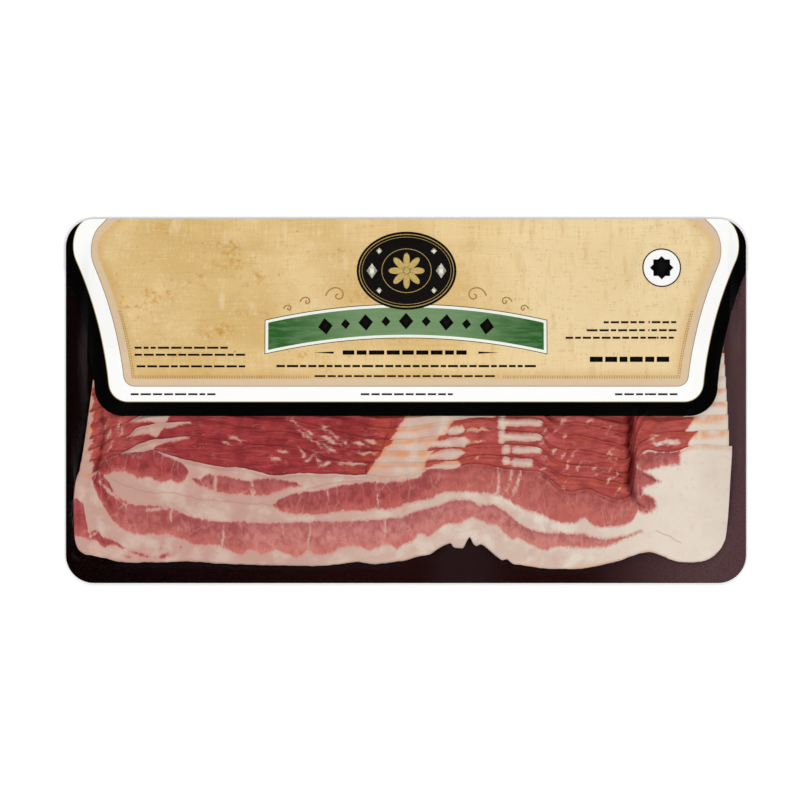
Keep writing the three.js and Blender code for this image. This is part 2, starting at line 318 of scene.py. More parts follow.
def back_edge(k, x):
    """The photo's lines as far as it shows them; the edges behind pass over into the frame's."""
    ragged = 0.22 * ground(x, 0 * x + 3 * k, 6, 21) + 0.12 * ground(x, 0 * x + 3 * k, 1.7, 22)
    followed = line_at(BACK_EDGES[min(k, FOLLOWED)], x)
    behind = max(0, k - FOLLOWED) / (SHOWN_SLICES - FOLLOWED)
    return followed + behind * (frame_edge(SHOWN_SLICES, x) - followed) + ragged


depth_of_front = float((back_edge(0, np.zeros(1)) - front_edge(0, np.zeros(1)))[0])
print("front slice in the middle, mm from front to back:", round(depth_of_front, 1))

# %% Creases
RIGHT_CREASE = [(629, 300), (629, 400), (629.3, 417), (630.6, 427), (628.2, 443.5), (631, 455), (630.2, 471),
                (628.6, 482), (632, 492), (638, 504), (644, 508)]
LEFT_CREASE = [(104, 300), (103.5, 400), (103.6, 415), (104.4, 427), (102.2, 448.6), (99.5, 461.3), (97, 471)]
CRACK = [(392, 380), (391, 418), (389.5, 430), (386, 437), (382.5, 446), (382.8, 452), (372, 459.5),
         (368, 465), (366.5, 475)]


def off_line(points, x, y):
    """How far right of a line that runs from back to front a place is, in millimetres."""
    places = from_photo(points)[::-1]
    return x - curve_through(places[:, ::-1], y)


def sag(x, y):
    """The share of the height that is left in the two creases, where the film pinches the pile: 1 minus a
    hump across each crease, which fades out towards the front."""
    right = 0.32 * hump(off_line(RIGHT_CREASE, x, y), 0, 1.3) * ease(-38, -31, y)
    left = 0.22 * hump(off_line(LEFT_CREASE, x, y), 0, 1.4) * ease(-27, -23, y)
    return 1 - (right + left) * ease(3, -14, y)


print("share of the height left in the right crease:", round(float(sag(*from_photo(RIGHT_CREASE)[5])), 2))

# %% Heights of the slices
def rise(x):
    """How much higher each slice lies than the one behind it: SLICE_RISE, more by the crease, and less
    towards the ends, which are pressed thin."""
    middle = SLICE_RISE + 0.33 * hump(x, 76, 12) - 0.26 * ease(84, 98, x) - 0.16 * ease(60, 95, -x)
    return middle * (1 - 0.45 * ease(103, 123, np.abs(x)))


def slice_faces(k, x, y):
    """Lower and upper height of slice k. Its upper edge is a quarter ellipse in front and at the ends, and an
    S-curve at the back, where the film presses it down on the next slice; the rim lies by the underside."""
    layers = np.maximum(0, (y - pile_line(x)) / SLICE_STEP - k)
    low = rest_height + rise(x) * layers * sag(x, y)
    full = rise(x) - SLICE_GAP
    inset = np.minimum(y - front_edge(k, x), np.minimum(x - left_end(k), right_end(k) - x)) / SOFT_RIM
    share = np.sqrt(1 - (1 - np.clip(inset, 0, 1)) ** 2) * ease(0, BACK_RIM, back_edge(k, x) - y)
    uneven = 0.12 * ground(x, y + 31 * k, 7, 31) + 0.06 * ground(x, y + 31 * k, 2.3, 32)
    rim = 0.03 * full
    return low + rim * (1 - share), low + rim + share * (full - rim + uneven * (1 if k == 0 else 0.3))


def hidden_top(x, y):
    """Top of the frame's solid for the slices under the label: a slope up, a level top and a slope down."""
    k = SHOWN_SLICES - 1
    width = frame_edge(0, x) - pile_line(x)
    last = frame_edge(SLICE_COUNT - 1, x)
    most = np.minimum(width / SLICE_STEP + 1, SLICE_COUNT - SHOWN_SLICES)
    layers = np.minimum(np.minimum((y - pile_line(x)) / SLICE_STEP - k, (last - y) / SLICE_STEP + 1), most)
    here = (y > pile_line(x) + k * SLICE_STEP) & (y < last + 0.5) & (x > left_end(k)) & (x < right_end(k))
    return np.where(here, rest_height + rise(x) * layers, board_top)


print("slice in the middle, mm thick:", round(float(rise(0.0) - SLICE_GAP), 2))

# %% [markdown]
# ## Camera and light
# The camera looks straight down from far away, as in the photo. Two main boxes stand high in front, to the
# left and the right. A low box in front and two behind light the slices' edges from both sides: with light
# from one side only, the creases turn black instead of dark red. The boxes stand where the film's long front
# slope doesn't mirror them to the camera, and a pale world keeps the shadows soft.

# %% Camera
LENS = 400
SENSOR = 36

camera_data = bpy.data.cameras.new("camera")
camera_data.lens = LENS
camera_data.sensor_width = SENSOR
camera_data.clip_end = 20
camera = bpy.data.objects.new("camera", camera_data)
bpy.context.scene.collection.objects.link(camera)
bpy.context.scene.camera = camera
frame_width = PHOTO_SIZE * PHOTO_SCALE
aim = from_photo([(PHOTO_SIZE / 2, PHOTO_SIZE / 2)])[0]
camera.location = (aim[0] * MM, aim[1] * MM, frame_width * MM * LENS / SENSOR)
print("camera height, m:", round(camera.location.z, 2))

# %% Softboxes and world
LAMP_DISTANCE = 2.3
LAMPS = {
    "left_key_softbox": (-50, 58, 0.7, 12.3),
    "right_key_softbox": (50, 58, 0.7, 12.3),
    "front_softbox": (0, 22, 1.2, 9),
    "back_left_softbox": (205, 40, 1.2, 9.8),
    "back_right_softbox": (152, 38, 1.2, 9.8),
}


def softbox(name, azimuth, elevation, size, watts):
    """A square lamp that looks at the pack from a direction: azimuth 0 is in front of it, 90 on its right."""
    data = bpy.data.lights.new(name, "AREA")
    data.size = size
    data.energy = watts
    lamp = bpy.data.objects.new(name, data)
    a, e = math.radians(azimuth), math.radians(elevation)
    place = Vector((math.sin(a) * math.cos(e), -math.cos(a) * math.cos(e), math.sin(e))) * LAMP_DISTANCE
    lamp.location = place
    lamp.rotation_euler = (-place).to_track_quat("-Z", "Y").to_euler()
    bpy.context.scene.collection.objects.link(lamp)


for lamp_name, lamp_settings in LAMPS.items():
    softbox(lamp_name, *lamp_settings)

world = bpy.data.worlds.new("studio")
world.use_nodes = True
world.node_tree.nodes["Background"].inputs["Color"].default_value = (1, 1, 1, 1)
world.node_tree.nodes["Background"].inputs["Strength"].default_value = 0.32
bpy.context.scene.world = world
bpy.context.scene.view_settings.view_transform = "Standard"
print("softboxes:", len(LAMPS), "watts in all:", sum(watts for *_, watts in LAMPS.values()))

# %% [markdown]
# ## Materials
# Every material is a recipe: noise and the stored fields are mixed node by node. A field gives the distance
# to an edge in millimetres, so a little noise added to it makes the edge fray, as lean frays into fat.

# %% Recipes for materials
class Recipe:
    """A material being put together: each call adds a node, joins it and returns its output."""

    def __init__(self, name, **settings):
        """A new material whose surface has those settings."""
        self.material = bpy.data.materials.new(name)
        self.material.use_nodes = True
        self.tree = self.material.node_tree
        self.shader = self.tree.nodes["Principled BSDF"]
        for socket, value in settings.items():
            self.shader.inputs[socket.replace("_", " ")].default_value = value
        self.coordinates = self.tree.nodes.new("ShaderNodeTexCoord").outputs["Object"]

    def give(self, socket, value):
        """Joins another node's output to a socket, or sets its number or colour."""
        if isinstance(value, bpy.types.NodeSocket):
            self.tree.links.new(value, socket)
        elif isinstance(value, tuple) and len(value) == 3 and socket.type == "RGBA":
            socket.default_value = (*value, 1)
        else:
            socket.default_value = value

    def add(self, kind, out=0, settings=None, **inputs):
        """A node of that kind with its settings and inputs."""
        node = self.tree.nodes.new(kind)
        for key, value in (settings or {}).items():
            setattr(node, key, value)
        for key, value in inputs.items():
            self.give(node.inputs[key.replace("_", " ")], value)
        return node.outputs[out]

    def math(self, operation, *values):
        """One step of arithmetic with one, two or three values."""
        result = self.add("ShaderNodeMath", settings={"operation": operation})
        for socket, value in zip(result.node.inputs, values):
            self.give(socket, value)
        return result

    def times(self, a, b):
        """a times b."""
        return self.math("MULTIPLY", a, b)

    def plus(self, a, b):
        """a plus b."""
        return self.math("ADD", a, b)

    def minus(self, a, b):
        """a minus b."""
        return self.math("SUBTRACT", a, b)

    def unsigned(self, a):
        """The value without its sign."""
        return self.math("ABSOLUTE", a)

    def field(self, name):
        """A field stored on the mesh."""
        return self.add("ShaderNodeAttribute", out="Fac", settings={"attribute_name": name})

    def axis(self, number):
        """The place along x (0) or y (1), in metres."""
        return self.add("ShaderNodeSeparateXYZ", out=number, Vector=self.coordinates)

    def place(self, scale):
        """The place on the object, each coordinate times its scale."""
        return self.add("ShaderNodeMapping", Vector=self.coordinates, Scale=scale)

    def noise(self, size, detail=3.0, stretch=(1, 1, 1), roughness=0.5):
        """Noise whose lumps are about size millimetres across, drawn out by stretch."""
        scale = tuple(1 / (size * MM * s) for s in stretch)
        return self.add("ShaderNodeTexNoise", Vector=self.place(scale), Scale=1.0, Detail=detail,
                        Roughness=roughness)

    def cells(self, width, height):
        """How far a place is from the border of its cell, in cells: wavy cells of about that size, like the
        bundles that muscle grows in."""
        at = self.place((1 / (width * MM), 1 / (height * MM), 0.0))
        bend = self.tree.nodes.new("ShaderNodeVectorMath")
        self.give(bend.inputs[0], at)
        wave = self.add("ShaderNodeTexNoise", out="Color", Vector=at, Scale=1.2, Detail=2.0)
        self.give(bend.inputs[1], wave)
        return self.add("ShaderNodeTexVoronoi", out="Distance", settings={"feature": "DISTANCE_TO_EDGE"},
                        Vector=bend.outputs[0], Scale=1.0)

    def spread(self, value, low, high, start=0.0, end=1.0):
        """value from low to high becomes start to end, by an S-curve."""
        return self.add("ShaderNodeMapRange", settings={"interpolation_type": "SMOOTHSTEP"}, Value=value,
                        From_Min=low, From_Max=high, To_Min=start, To_Max=end)

    def coats(self, colour, *layers):
        """Coats of colour, each a pair of a share and a colour, laid one over the other."""
        for share, coat in layers:
            node = self.tree.nodes.new("ShaderNodeMix")
            node.data_type = "RGBA"
            for number, value in ((0, share), (6, colour), (7, coat)):
                self.give(node.inputs[number], value)
            colour = node.outputs[2]
        return colour

    def dye(self, colour):
        """Gives the finished colour to the material."""
        self.give(self.shader.inputs["Base Color"], colour)

    def bump(self, height, distance, strength=1.0):
        """Relief too fine for the mesh, distance millimetres high."""
        self.give(self.shader.inputs["Normal"],
                  self.add("ShaderNodeBump", Height=height, Distance=distance * MM, Strength=strength))


def shade(red, green, blue):
    """A colour as a screen shows it, 0 to 255, made linear: below 0.04045 over 12.92, else a 2.4 power."""
    screen = np.array([red, green, blue]) / 255
    linear = np.where(screen <= 0.04045, screen / 12.92, ((screen + 0.055) / 1.055) ** 2.4)
    return tuple(float(v) for v in linear)


print("middle grey, made linear:", round(shade(128, 128, 128)[0], 3))

# %% [markdown]
# ## Marbling of the front slice
# Belly meat grows in layers, so a slice shows long wavy bands of lean in fat. Painting them would need a
# picture. Here each band is the room between two smooth curves, and its depth, the distance to its nearer
# curve, is stored in the mesh. Small lobes and spots are ellipses, and thin skins of fat cut the bands.

# %% Bands, lobes and spots
def band(x, y, upper, lower):
    """Depth inside the band between two curves, in millimetres, and less than 0 outside it."""
    upper, lower = from_photo(upper), from_photo(lower)
    inside = np.minimum(curve_through(upper, x) - y, y - curve_through(lower, x))
    first, last = max(upper[0, 0], lower[0, 0]), min(upper[-1, 0], lower[-1, 0])
    return np.minimum(inside, np.minimum(x - first, last - x) + 0.3)


def spot(x, y, px, py, length, width, tilt=0.0):
    """Depth inside a tilted ellipse of half sizes in pixels: 1 minus its scaled radius, times the smaller
    one."""
    (cx, cy), = from_photo([(px, py)])
    a, b = length * PHOTO_SCALE, width * PHOTO_SCALE
    c, s = math.cos(math.radians(tilt)), math.sin(math.radians(tilt))
    along, across = (x - cx) * c + (y - cy) * s, (y - cy) * c - (x - cx) * s
    return (1 - np.hypot(along / a, across / b)) * min(a, b)


def box_depth(x, y, left, right, top, bottom):
    """Depth inside an upright rectangle with round corners, whose sides are given in pixels."""
    (x0, y0), (x1, y1) = from_photo([(left, bottom), (right, top)])
    return rounded(np.minimum(x - x0, x1 - x), np.minimum(y - y0, y1 - y), min(0.9, (y1 - y0) / 2))


print("depth in the middle of a spot 2 pixels wide, mm:", round(float(spot(0.0, 0.0, *PACK_CENTRE, 2, 1)), 2))

# %% Outlines of the lean
LOW_BAND = (
    [(92.5, 478), (98, 472.5), (104, 475), (111, 483.5), (116, 493), (123.8, 499), (131.4, 503.2),
     (154, 504.7), (170, 507), (188, 515), (198, 518), (213, 520.6), (240, 521), (260, 522.6), (285, 522),
     (335, 521), (382, 519), (404, 516), (422, 509), (436, 506.7), (449.7, 501), (470.3, 500.3),
     (477.2, 504.3), (493.3, 504.5), (500, 508), (509.4, 514.8), (527.7, 528.6), (539.2, 532), (562, 533),
     (585, 534.3), (596.6, 537.7), (615, 537.7), (631, 534.3), (640.2, 530.9)],
    [(92.5, 479), (94.6, 485), (98.6, 495), (104.6, 506.5), (111, 517), (117, 524), (123.8, 528.9),
     (132.7, 532.8), (157, 534.7), (171, 535.3), (182.4, 539), (194, 544.2), (211.8, 545.3), (225, 547.5),
     (233.5, 551.8), (244.4, 554), (248.7, 550), (261.7, 554), (276.9, 550), (290, 555), (303, 555),
     (307.3, 550), (316, 554), (331, 552.9), (342, 547.5), (363.7, 547.5), (370.2, 550.5), (376.7, 547.5),
     (390, 544), (396.9, 548.8), (403.8, 543.8), (413, 540), (419.8, 533.2), (429, 536.4), (436, 530.9),
     (445, 524), (459, 522.8), (470.3, 517.2), (477.2, 518.4), (488.7, 524), (500, 526.6), (504.8, 533),
     (511.7, 538.6), (518.6, 537), (527.7, 542.3), (537, 546.9), (546, 549), (557.6, 546), (573.7, 546.9),
     (596.6, 546.9), (610.4, 544.6), (619.6, 540), (640.2, 531.3)],
)
HIGH_BAND = (
    [(273.7, 504), (279, 499.8), (294.3, 493.3), (320.3, 490), (342, 484.6), (363.7, 481.3), (385.4, 482.2),
     (403.8, 480.3), (419.8, 475.8), (426.7, 469), (436, 455), (600, 450), (640, 470)],
    [(273.7, 505), (277, 508.5), (290, 512.8), (309.5, 513.9), (331, 512.8), (342, 510.7), (363.7, 510.5),
     (374.5, 508.6), (390, 509), (403.8, 504.5), (419.8, 501), (431.3, 497.6), (438.2, 493.4), (449.7, 491.8),
     (466, 491.8), (493.3, 494.1), (502.5, 496.4), (514, 503.3), (527.7, 510.2), (537, 512.5), (550.7, 519.2),
     (560, 521.7), (573.7, 522.8), (585, 517.3), (590, 522.6), (608, 526.3), (619.6, 525), (633.3, 517),
     (640, 506)],
)
LOBES = [
    ([(98, 471), (104, 463), (111, 456.5), (126, 452), (142, 450), (155, 449), (163, 453), (175, 459),
      (183, 463.5), (189, 470)],
     [(98, 472), (105, 475), (116, 472.3), (133, 474.5), (139, 478.6), (148, 476.8), (161, 482), (166, 482.2),
      (170, 480.3), (184, 481.7), (189, 473)]),
    ([(193.3, 477), (203, 478), (206.7, 474.4), (219.4, 474.7), (238.6, 478.5), (251, 481), (255.2, 479.4),
      (268, 478), (287.8, 480.3), (298.6, 482.4), (300.8, 485.7)],
     [(193.3, 480), (198.8, 484.6), (209.7, 489), (225, 493.3), (240, 493.3), (261.7, 496.2), (272.6, 493.3),
      (287.8, 487.8), (300.8, 486.2)]),
    ([(634, 456), (640, 453.5), (655, 452), (677, 451)],
     [(634, 458), (638, 466.4), (642, 470.6), (650, 468.5), (658, 466.4), (677, 464)]),
    ([(74, 498), (78, 498), (81, 501), (84.6, 507), (86.2, 518), (88.7, 528), (94.4, 530), (98.3, 530.8),
      (102, 534.8), (111, 538), (117.4, 541), (124, 547.6)],
     [(74, 536), (80, 536), (85.5, 538), (90.6, 540.2), (97, 540.6), (99.5, 544), (104.6, 547.6),
      (111, 545.6), (117, 546.4), (124, 549)]),
    ([(627.5, 483), (631, 475), (641.8, 471.8), (650, 475), (659, 481)],
     [(627.5, 484), (629, 489), (633, 492.6), (639, 488), (648, 484.5), (659, 481.5)]),
]
LEAN_SPOTS = [(138.5, 553.6, 10, 1.8, -16), (163, 556, 9, 1.8, 18), (162, 545.5, 2.6, 0.9, 72),
              (181, 547, 1.4, 1), (645, 504, 9.8, 9), (130, 556.8, 4, 1, -10)]
FAT_SPOTS = [(109, 489.5, 8.5, 0.7, -42), (160, 508.6, 7, 0.8, 6), (166, 505.6, 4, 0.7, 24),
             (93.6, 534.5, 3, 1, 30), (90, 531.5, 1.6, 0.8, 0), (509.5, 478, 6, 0.9, 74),
             (498, 484, 9, 0.7, 84), (516, 484, 10, 0.8, 70)]
SKINS = [(254, 465, 502, 1.7), (200, 470, 490, 0.8), (217, 470, 492, 0.8), (310, 519, 547, 1.1),
         (283, 519, 534, 0.8), (378, 494, 512, 0.8), (329, 486, 500, 0.6), (385, 520, 546, 0.6),
         (172, 505, 520, 0.6), (224, 525, 548, 0.7), (499, 455, 490, 0.8), (606, 534, 546, 0.6)]
SKIN_DEPTH = -0.04
SEAMS = [
    [(111, 479.2), (131.4, 486.8), (149.3, 491.9), (174.8, 492.6), (200.3, 498.3), (225.8, 501.5),
     (260, 503.4), (272, 504.5)],
    [(305, 489), (320, 485.7), (337.7, 482.4), (363.7, 480.7)],
    [(654.6, 530.2), (668, 536), (681.4, 543)],
]
print("bands and lobes of lean:", 2 + len(LOBES), "spots:", len(LEAN_SPOTS) + len(FAT_SPOTS))

# %% Lean of the front slice
NOWHERE = 50.0        # the distance, in millimetres, that stands for no line near by


def band_share(x, y, upper, lower):
    """0 at a band's upper curve and 1 at its lower one."""
    top, bottom = line_at(upper, x), line_at(lower, x)
    return np.clip((top - y) / np.maximum(top - bottom, 0.5), 0, 1)


def front_lean(x, y):
    """How deep a point of the front slice lies in lean, in millimetres: bands, lobes and spots joined by the
    largest value, less the thin upright skins of fat, with lumpy edges. And its share of the way down its
    band."""
    bands = [LOW_BAND, HIGH_BAND, *LOBES]
    parts = [band(x, y, *curves) for curves in bands] + [spot(x, y, *place) for place in LEAN_SPOTS]
    shares = [band_share(x, y, *curves) for curves in bands] + [np.full(x.shape, 0.5)] * len(LEAN_SPOTS)
    parts, shares = np.stack(parts), np.stack(shares)
    deepest = parts.argmax(0)[None]
    depth, share = (np.take_along_axis(grids, deepest, 0)[0] for grids in (parts, shares))
    wander = 0.8 * ground(0 * x, y, 3.5, 47)
    for px, top, bottom, width in SKINS:
        (middle, y0), (_, y1) = from_photo([(px, bottom), (px, top)])
        away = np.maximum(np.abs(x + wander - middle), np.maximum(y0 - y, y - y1))
        depth = np.minimum(depth, np.maximum(away - width * PHOTO_SCALE / 2, SKIN_DEPTH))
    for place in FAT_SPOTS:
        depth = np.minimum(depth, np.maximum(-spot(x + 0.4 * wander, y, *place), SKIN_DEPTH))
    lumps = 0.24 * ground(x, 0.5 * y, 2.4, 41) + 0.2 * ground(x, y, 1.0, 42)
    return depth + lumps * ease(-3, -0.5, depth), share


def seam_distance(x, y):
    """How far above or below the nearest hairline seam in the fat a place is, or NOWHERE."""
    distance = np.full(x.shape, NOWHERE)
    for seam in SEAMS:
        line = from_photo(seam)
        wavy = y - curve_through(line, x) + 0.35 * ground(x, 0 * x, 2.2, 48)
        here = (x > line[0, 0]) & (x < line[-1, 0]) & (np.abs(wavy) < np.abs(distance))
        distance = np.where(here, wavy, distance)
    return distance


# %% [markdown]
# ## Marbling of the strips
# Behind the front slice, only a strip of each slice shows, but all were cut from the same belly. So the same
# wedges and bars of fat come back in each strip, a little moved and changed. The lists give them strip by
# strip. Hairs of fat, flecks and the orange tint that curing leaves along the edges come on top.

# %% Outlines of the strips' fat
WEDGES = {
    1: ([(124, 453.5), (131, 449.5), (136.5, 445), (149, 440.3), (168, 438), (180, 436.4), (189, 437.5)],
        [(124, 454), (136, 453), (149, 450.6), (154, 449.4), (157, 446.5), (162, 444), (175, 440.6),
         (189, 438.5)]),
    2: ([(128, 435.5), (136.5, 428), (149, 424.8), (175, 421.4), (187, 420.4), (190, 422)],
        [(128, 436.3), (149, 433.5), (160, 434.3), (162, 430.8), (172, 427.2), (190, 422.8)]),
    3: ([(132, 421.8), (136, 417.3), (143, 415.2), (165, 412.3), (188, 409)],
        [(132, 422.4), (152, 421.5), (168, 421), (170, 417), (188, 411)]),
    4: ([(138, 407), (146, 402), (165, 398.8), (190, 396)],
        [(138, 408), (158, 408), (172, 404.5), (190, 397.5)]),
}
PATCHES = {1: (366, 421.5), 2: (376, 426), 3: (385, 429), 4: (391, 445), 5: (399, 494), 6: (404, 500)}
SHORT_BARS = {
    1: ([(423, 469), (430, 466), (440, 463), (448, 461.2), (458, 461), (460, 463)],
        [(423, 470), (440, 469.6), (458, 468.6), (460, 467)]),
    2: ([(427, 457), (434, 453), (443, 449.8), (455, 448.6), (461, 449.5), (464, 452)],
        [(427, 458.5), (440, 459.5), (452, 459.6), (458, 457), (464, 453)]),
    3: ([(429, 441), (440, 440), (450, 438.5), (458, 436.8), (466, 437.5), (468.5, 440)],
        [(429, 446), (440, 447.2), (455, 446.5), (466, 445), (468.5, 442)]),
    4: ([(446, 431), (450, 428), (458, 426), (464, 427.5), (465, 430)],
        [(446, 433), (452, 435), (460, 434.5), (465, 431)]),
}
LONG_BARS = {
    1: [(511.7, 532.7, 458.7, 466.4), (502, 509.7, 456.8, 464.4)],
    2: [(511.7, 541, 446.7, 453), (502, 509.7, 444.8, 454)],
    3: [(498, 541.3, 433.6, 440.6), (498, 505, 431, 443)],
    4: [(499, 542, 419.6, 425.6), (498, 505, 417, 430)],
    5: [(500, 541, 407, 413), (498, 505, 404, 417)],
}
FLECKS = [(476, 430.3, 10, 2.2, 3), (476.5, 441.5, 6.5, 1.8, 12), (477.5, 456, 3, 1.4, 55),
          (561.9, 421.6, 3, 1.2, 60), (563.8, 437.6, 3, 1.3, 65), (563.3, 453.2, 3.4, 1.2, 70),
          (573.6, 453, 2.6, 1.1, 60), (566.2, 466, 3.2, 1.2, 60), (578, 466.6, 2.8, 1, 70),
          (564.8, 480.7, 3, 1.3, 60), (563.3, 492.3, 3, 1.2, 70), (553.3, 432.4, 2.6, 1, 40),
          (545, 430, 2, 1.2, 30), (553.7, 451, 2.6, 1.1, 50), (545.1, 456.8, 2.6, 1.2, 20),
          (542.3, 441.5, 2.4, 1.2, 40), (542.3, 468.3, 2.4, 1.2, 40), (598.7, 472.6, 3, 1.3, 30),
          (608, 430, 2.6, 1.2, 60), (608.3, 452, 2.6, 1.1, 60), (611.2, 455, 2, 1.2, 0),
          (615, 461.3, 2.8, 1.2, 60), (609.3, 458.8, 2, 1.1, 30), (616.3, 474, 2.6, 1.2, 60),
          (608.7, 470.3, 2, 1.1, 30), (617, 489.4, 2.8, 1.2, 60), (608, 481, 2.4, 1.1, 40),
          (594, 467.7, 2.2, 1.2, 20), (594.6, 495.8, 2.6, 1.2, 30), (589, 421.4, 2.6, 1.2, 40),
          (650.8, 439, 3, 1.5, 30), (654.6, 435.2, 2.2, 1.3, 0), (671, 441.9, 9, 4.2, 4),
          (657, 443.5, 5, 2.5, 0), (295, 422, 3.4, 1.2, -30), (283, 451.5, 3, 1.3, -20),
          (277, 459, 4.4, 1.5, -24), (238, 439, 3, 1.1, -20), (228, 443, 2.4, 1.1, -30),
          (302.5, 452.5, 4, 1.7, -50), (311, 457, 4, 1.7, 35), (319, 459.6, 4, 1.7, -45),
          (326, 464, 4, 1.6, 20), (309, 432, 2.6, 1.2, -40), (314, 440.5, 8.5, 1.3, -33),
          (334, 434.8, 7.6, 1.5, -38), (328.5, 439.2, 9, 2.4, -25), (330, 447.2, 5, 1.6, -35),
          (345, 441.5, 2.2, 1.6, 0), (361, 443.8, 4.2, 1.8, -12), (372, 441.3, 6.2, 1.5, -14),
          (364, 453, 9.5, 2.2, -4), (353, 464, 9.2, 2.2, -3), (324.5, 462.5, 1.6, 2, 0), (108, 425, 3, 1, 70),
          (111, 433, 3, 1, 60), (121, 423, 3, 0.9, 70), (122.5, 431, 2.6, 0.9, 65), (113, 444, 3, 0.9, 60)]
FLECK_WIDTH = 0.65
PATCH_SLANT = 0.62
STRIP_ROWS = (300, 600)      # pixel rows that no strip reaches
LEFT_FAT, RIGHT_FAT = 91.4, 688
print("flecks of fat in the strips:", len(FLECKS))


# %% Fat in the strips
def leaning(k, x, y):
    """x less the slant of the fat's edges, which grows with the distance behind the edge of the slice in
    front."""
    return x - PATCH_SLANT * (y - back_edge(k - 1, x)) + 0.3


def patch_depth(k, x, y):
    """Depth inside the broad patch of fat in the middle of a strip."""
    return box_depth(x, y, *PATCHES.get(k, PATCHES[max(PATCHES)]), *STRIP_ROWS)


def strip_lean(k, x, y):
    """How deep a point of a strip lies in lean: the room that its pieces of fat leave, in millimetres."""
    bent = (x + 0.7 * ground(x, y, 1.3, 51), y + 0.55 * ground(x, y, 1.3, 52))
    fat = [spot(*bent, px, py, length, FLECK_WIDTH * width, tilt) - 0.06
           for px, py, length, width, tilt in FLECKS]
    fat += [band(x, y, *lists[k]) for lists in (WEDGES, SHORT_BARS) if k in lists]
    fat += [box_depth(x, y, *sides) for sides in LONG_BARS.get(k, ())]
    ragged = 1.1 * ground(0 * x + 5 * k, y, 2.2, 43)
    fat.append(patch_depth(k, leaning(k, x, y) + ragged, y))
    fat.append(box_depth(x + ragged, y, 0, LEFT_FAT + 0.8 * abs(k - 3), *STRIP_ROWS))
    fat.append(box_depth(leaning(k, x, y) + ragged, y, RIGHT_FAT - 3 * (k - 1), PHOTO_SIZE, *STRIP_ROWS))
    fat = np.maximum.reduce(fat)
    lumps = 0.22 * ground(x, y + 17 * k, 1.9, 44) + 0.2 * ground(x, y + 17 * k, 0.8, 49)
    return lumps * ease(-2.5, -0.4, fat) - fat


# %% Painted shade in the folds, tints and depth of red
ORANGE_SPOTS = [(98, 410, 6, 10), (97, 449, 7, 5), (102, 455, 5, 3), (90, 477, 6, 4), (94, 430, 4, 5),
                (353, 469.5, 11, 4), (382, 445, 7, 6), (383, 426, 8, 10), (366, 458, 9, 3),
                (399, 453.5, 10, 3), (404, 441.5, 12, 2.8), (410, 430, 12, 2.8), (420, 466, 5, 4),
                (424, 455, 5, 4), (428, 443, 5, 4), (380, 466, 10, 3), (470, 426, 9, 3), (480, 441, 12, 3),
                (486, 452, 12, 3), (490, 464, 14, 2.6), (566, 478, 8, 5), (560, 462, 8, 4),
                (565, 448, 10, 2.6), (600, 484, 12, 4), (622, 486, 6, 6), (614, 466, 8, 5), (612, 452, 8, 4),
                (640, 448, 8, 3), (668, 434, 18, 3), (650, 437, 8, 5), (700, 436, 24, 3), (705, 421, 20, 3),
                (655, 414, 10, 3), (556, 487, 14, 2.6), (648, 424, 8, 4)]
NOTCH = [(641.5, 472.6), (645, 475.2), (651, 478.6), (658.5, 482.6)]


def painted_fold_shade(x, y):
    """Painted shade, 0 to 1, in the folds, as humps across their lines: the long crease before the fat end
    with its curl, the left crease, a notch beside the curl, and the crack in the fat of the middle, which is
    broken."""
    wide = 0.85 + 0.3 * ground(0 * x, y, 3, 53)
    right = hump(off_line(RIGHT_CREASE, x, y) / wide, 0, 1) * ease(-40.6, -38.5, y)
    frayed = off_line(LEFT_CREASE, x, y) + 0.5 * ground(x, y, 1.1, 55)
    left = (0.75 + 0.4 * ground(x, y, 1.6, 56)) * hump(frayed, 0, 0.75) * ease(-27.5, -24.5, y)
    curve = from_photo(NOTCH)
    notch = 0.8 * hump(y - curve_through(curve, x), 0, 0.35) * (x > curve[0, 0])
    notch = notch * ease(curve[-1, 0], curve[1, 0], x)
    broken = ease(-0.3, 0.2, ground(0 * x, y, 1.6, 45))
    crack = hump(off_line(CRACK, x, y) + 0.3 * ground(x, y, 1.5, 50), 0, 0.3) * ease(-28.2, -27, y) * broken
    return np.clip(right + left + notch + 0.85 * crack, 0, 1)


def orange_tint(k, x, y):
    """0 to 1 where cured fat and lean turn orange: along the back edges, and in spots by the folds."""
    depth_in = back_edge(k, x) - y
    edge = ease(2.5, 0.4, depth_in) * ease(-0.75, 0.15, ground(x, y + 9 * k, 3.2, 46))
    zone = (0.9 * ease(-16, -11, x) * ease(36, 30, x) + 0.7 * ease(54, 60, x) + 0.5 * ease(-108, -114, x)
            + 0.3 * ease(97, 103, x))
    spots = np.maximum.reduce([ease(-0.9, 0.9, spot(x, y, *place)) for place in ORANGE_SPOTS])
    if k == 0:
        front_rim = ease(1.5, 0.3, y - front_edge(0, x)) * ease(-0.6, 0.2, ground(x, y, 4, 54))
        front_rim = front_rim * (ease(38, 46, x) * ease(101, 94, x) + 0.4 * hump(x, -5, 9))
        return np.clip(0.7 * edge * zone + 0.4 * spots * ease(3.5, 1.5, depth_in) + 0.7 * front_rim, 0, 1)
    patch_rim = hump(patch_depth(k, leaning(k, x, y), y), 0.4, 1.5) * ease(-0.6, 0.3, ground(x, y, 2, 57))
    return np.clip(edge * zone + 0.8 * spots + 0.75 * patch_rim, 0, 1)


def redness(k, x, y):
    """0 on the pale low band, about half on the high band and the lobes, 1 on the strips left of the
    middle."""
    if k == 0:
        above = ease(-1.5, 3, y - line_at(LOW_BAND[0], x))
        high = 0.62 + 0.16 * hump(x, -14, 22) + 0.3 * ease(-60, -95, x)
        low = 0.12 + 0.4 * ease(-52, -68, x) + 0.4 * ease(-102, -112, x)
        return above * high + (1 - above) * low
    return 0.55 + 0.45 * ease(-106, -96, x) * ease(10, -14, x)
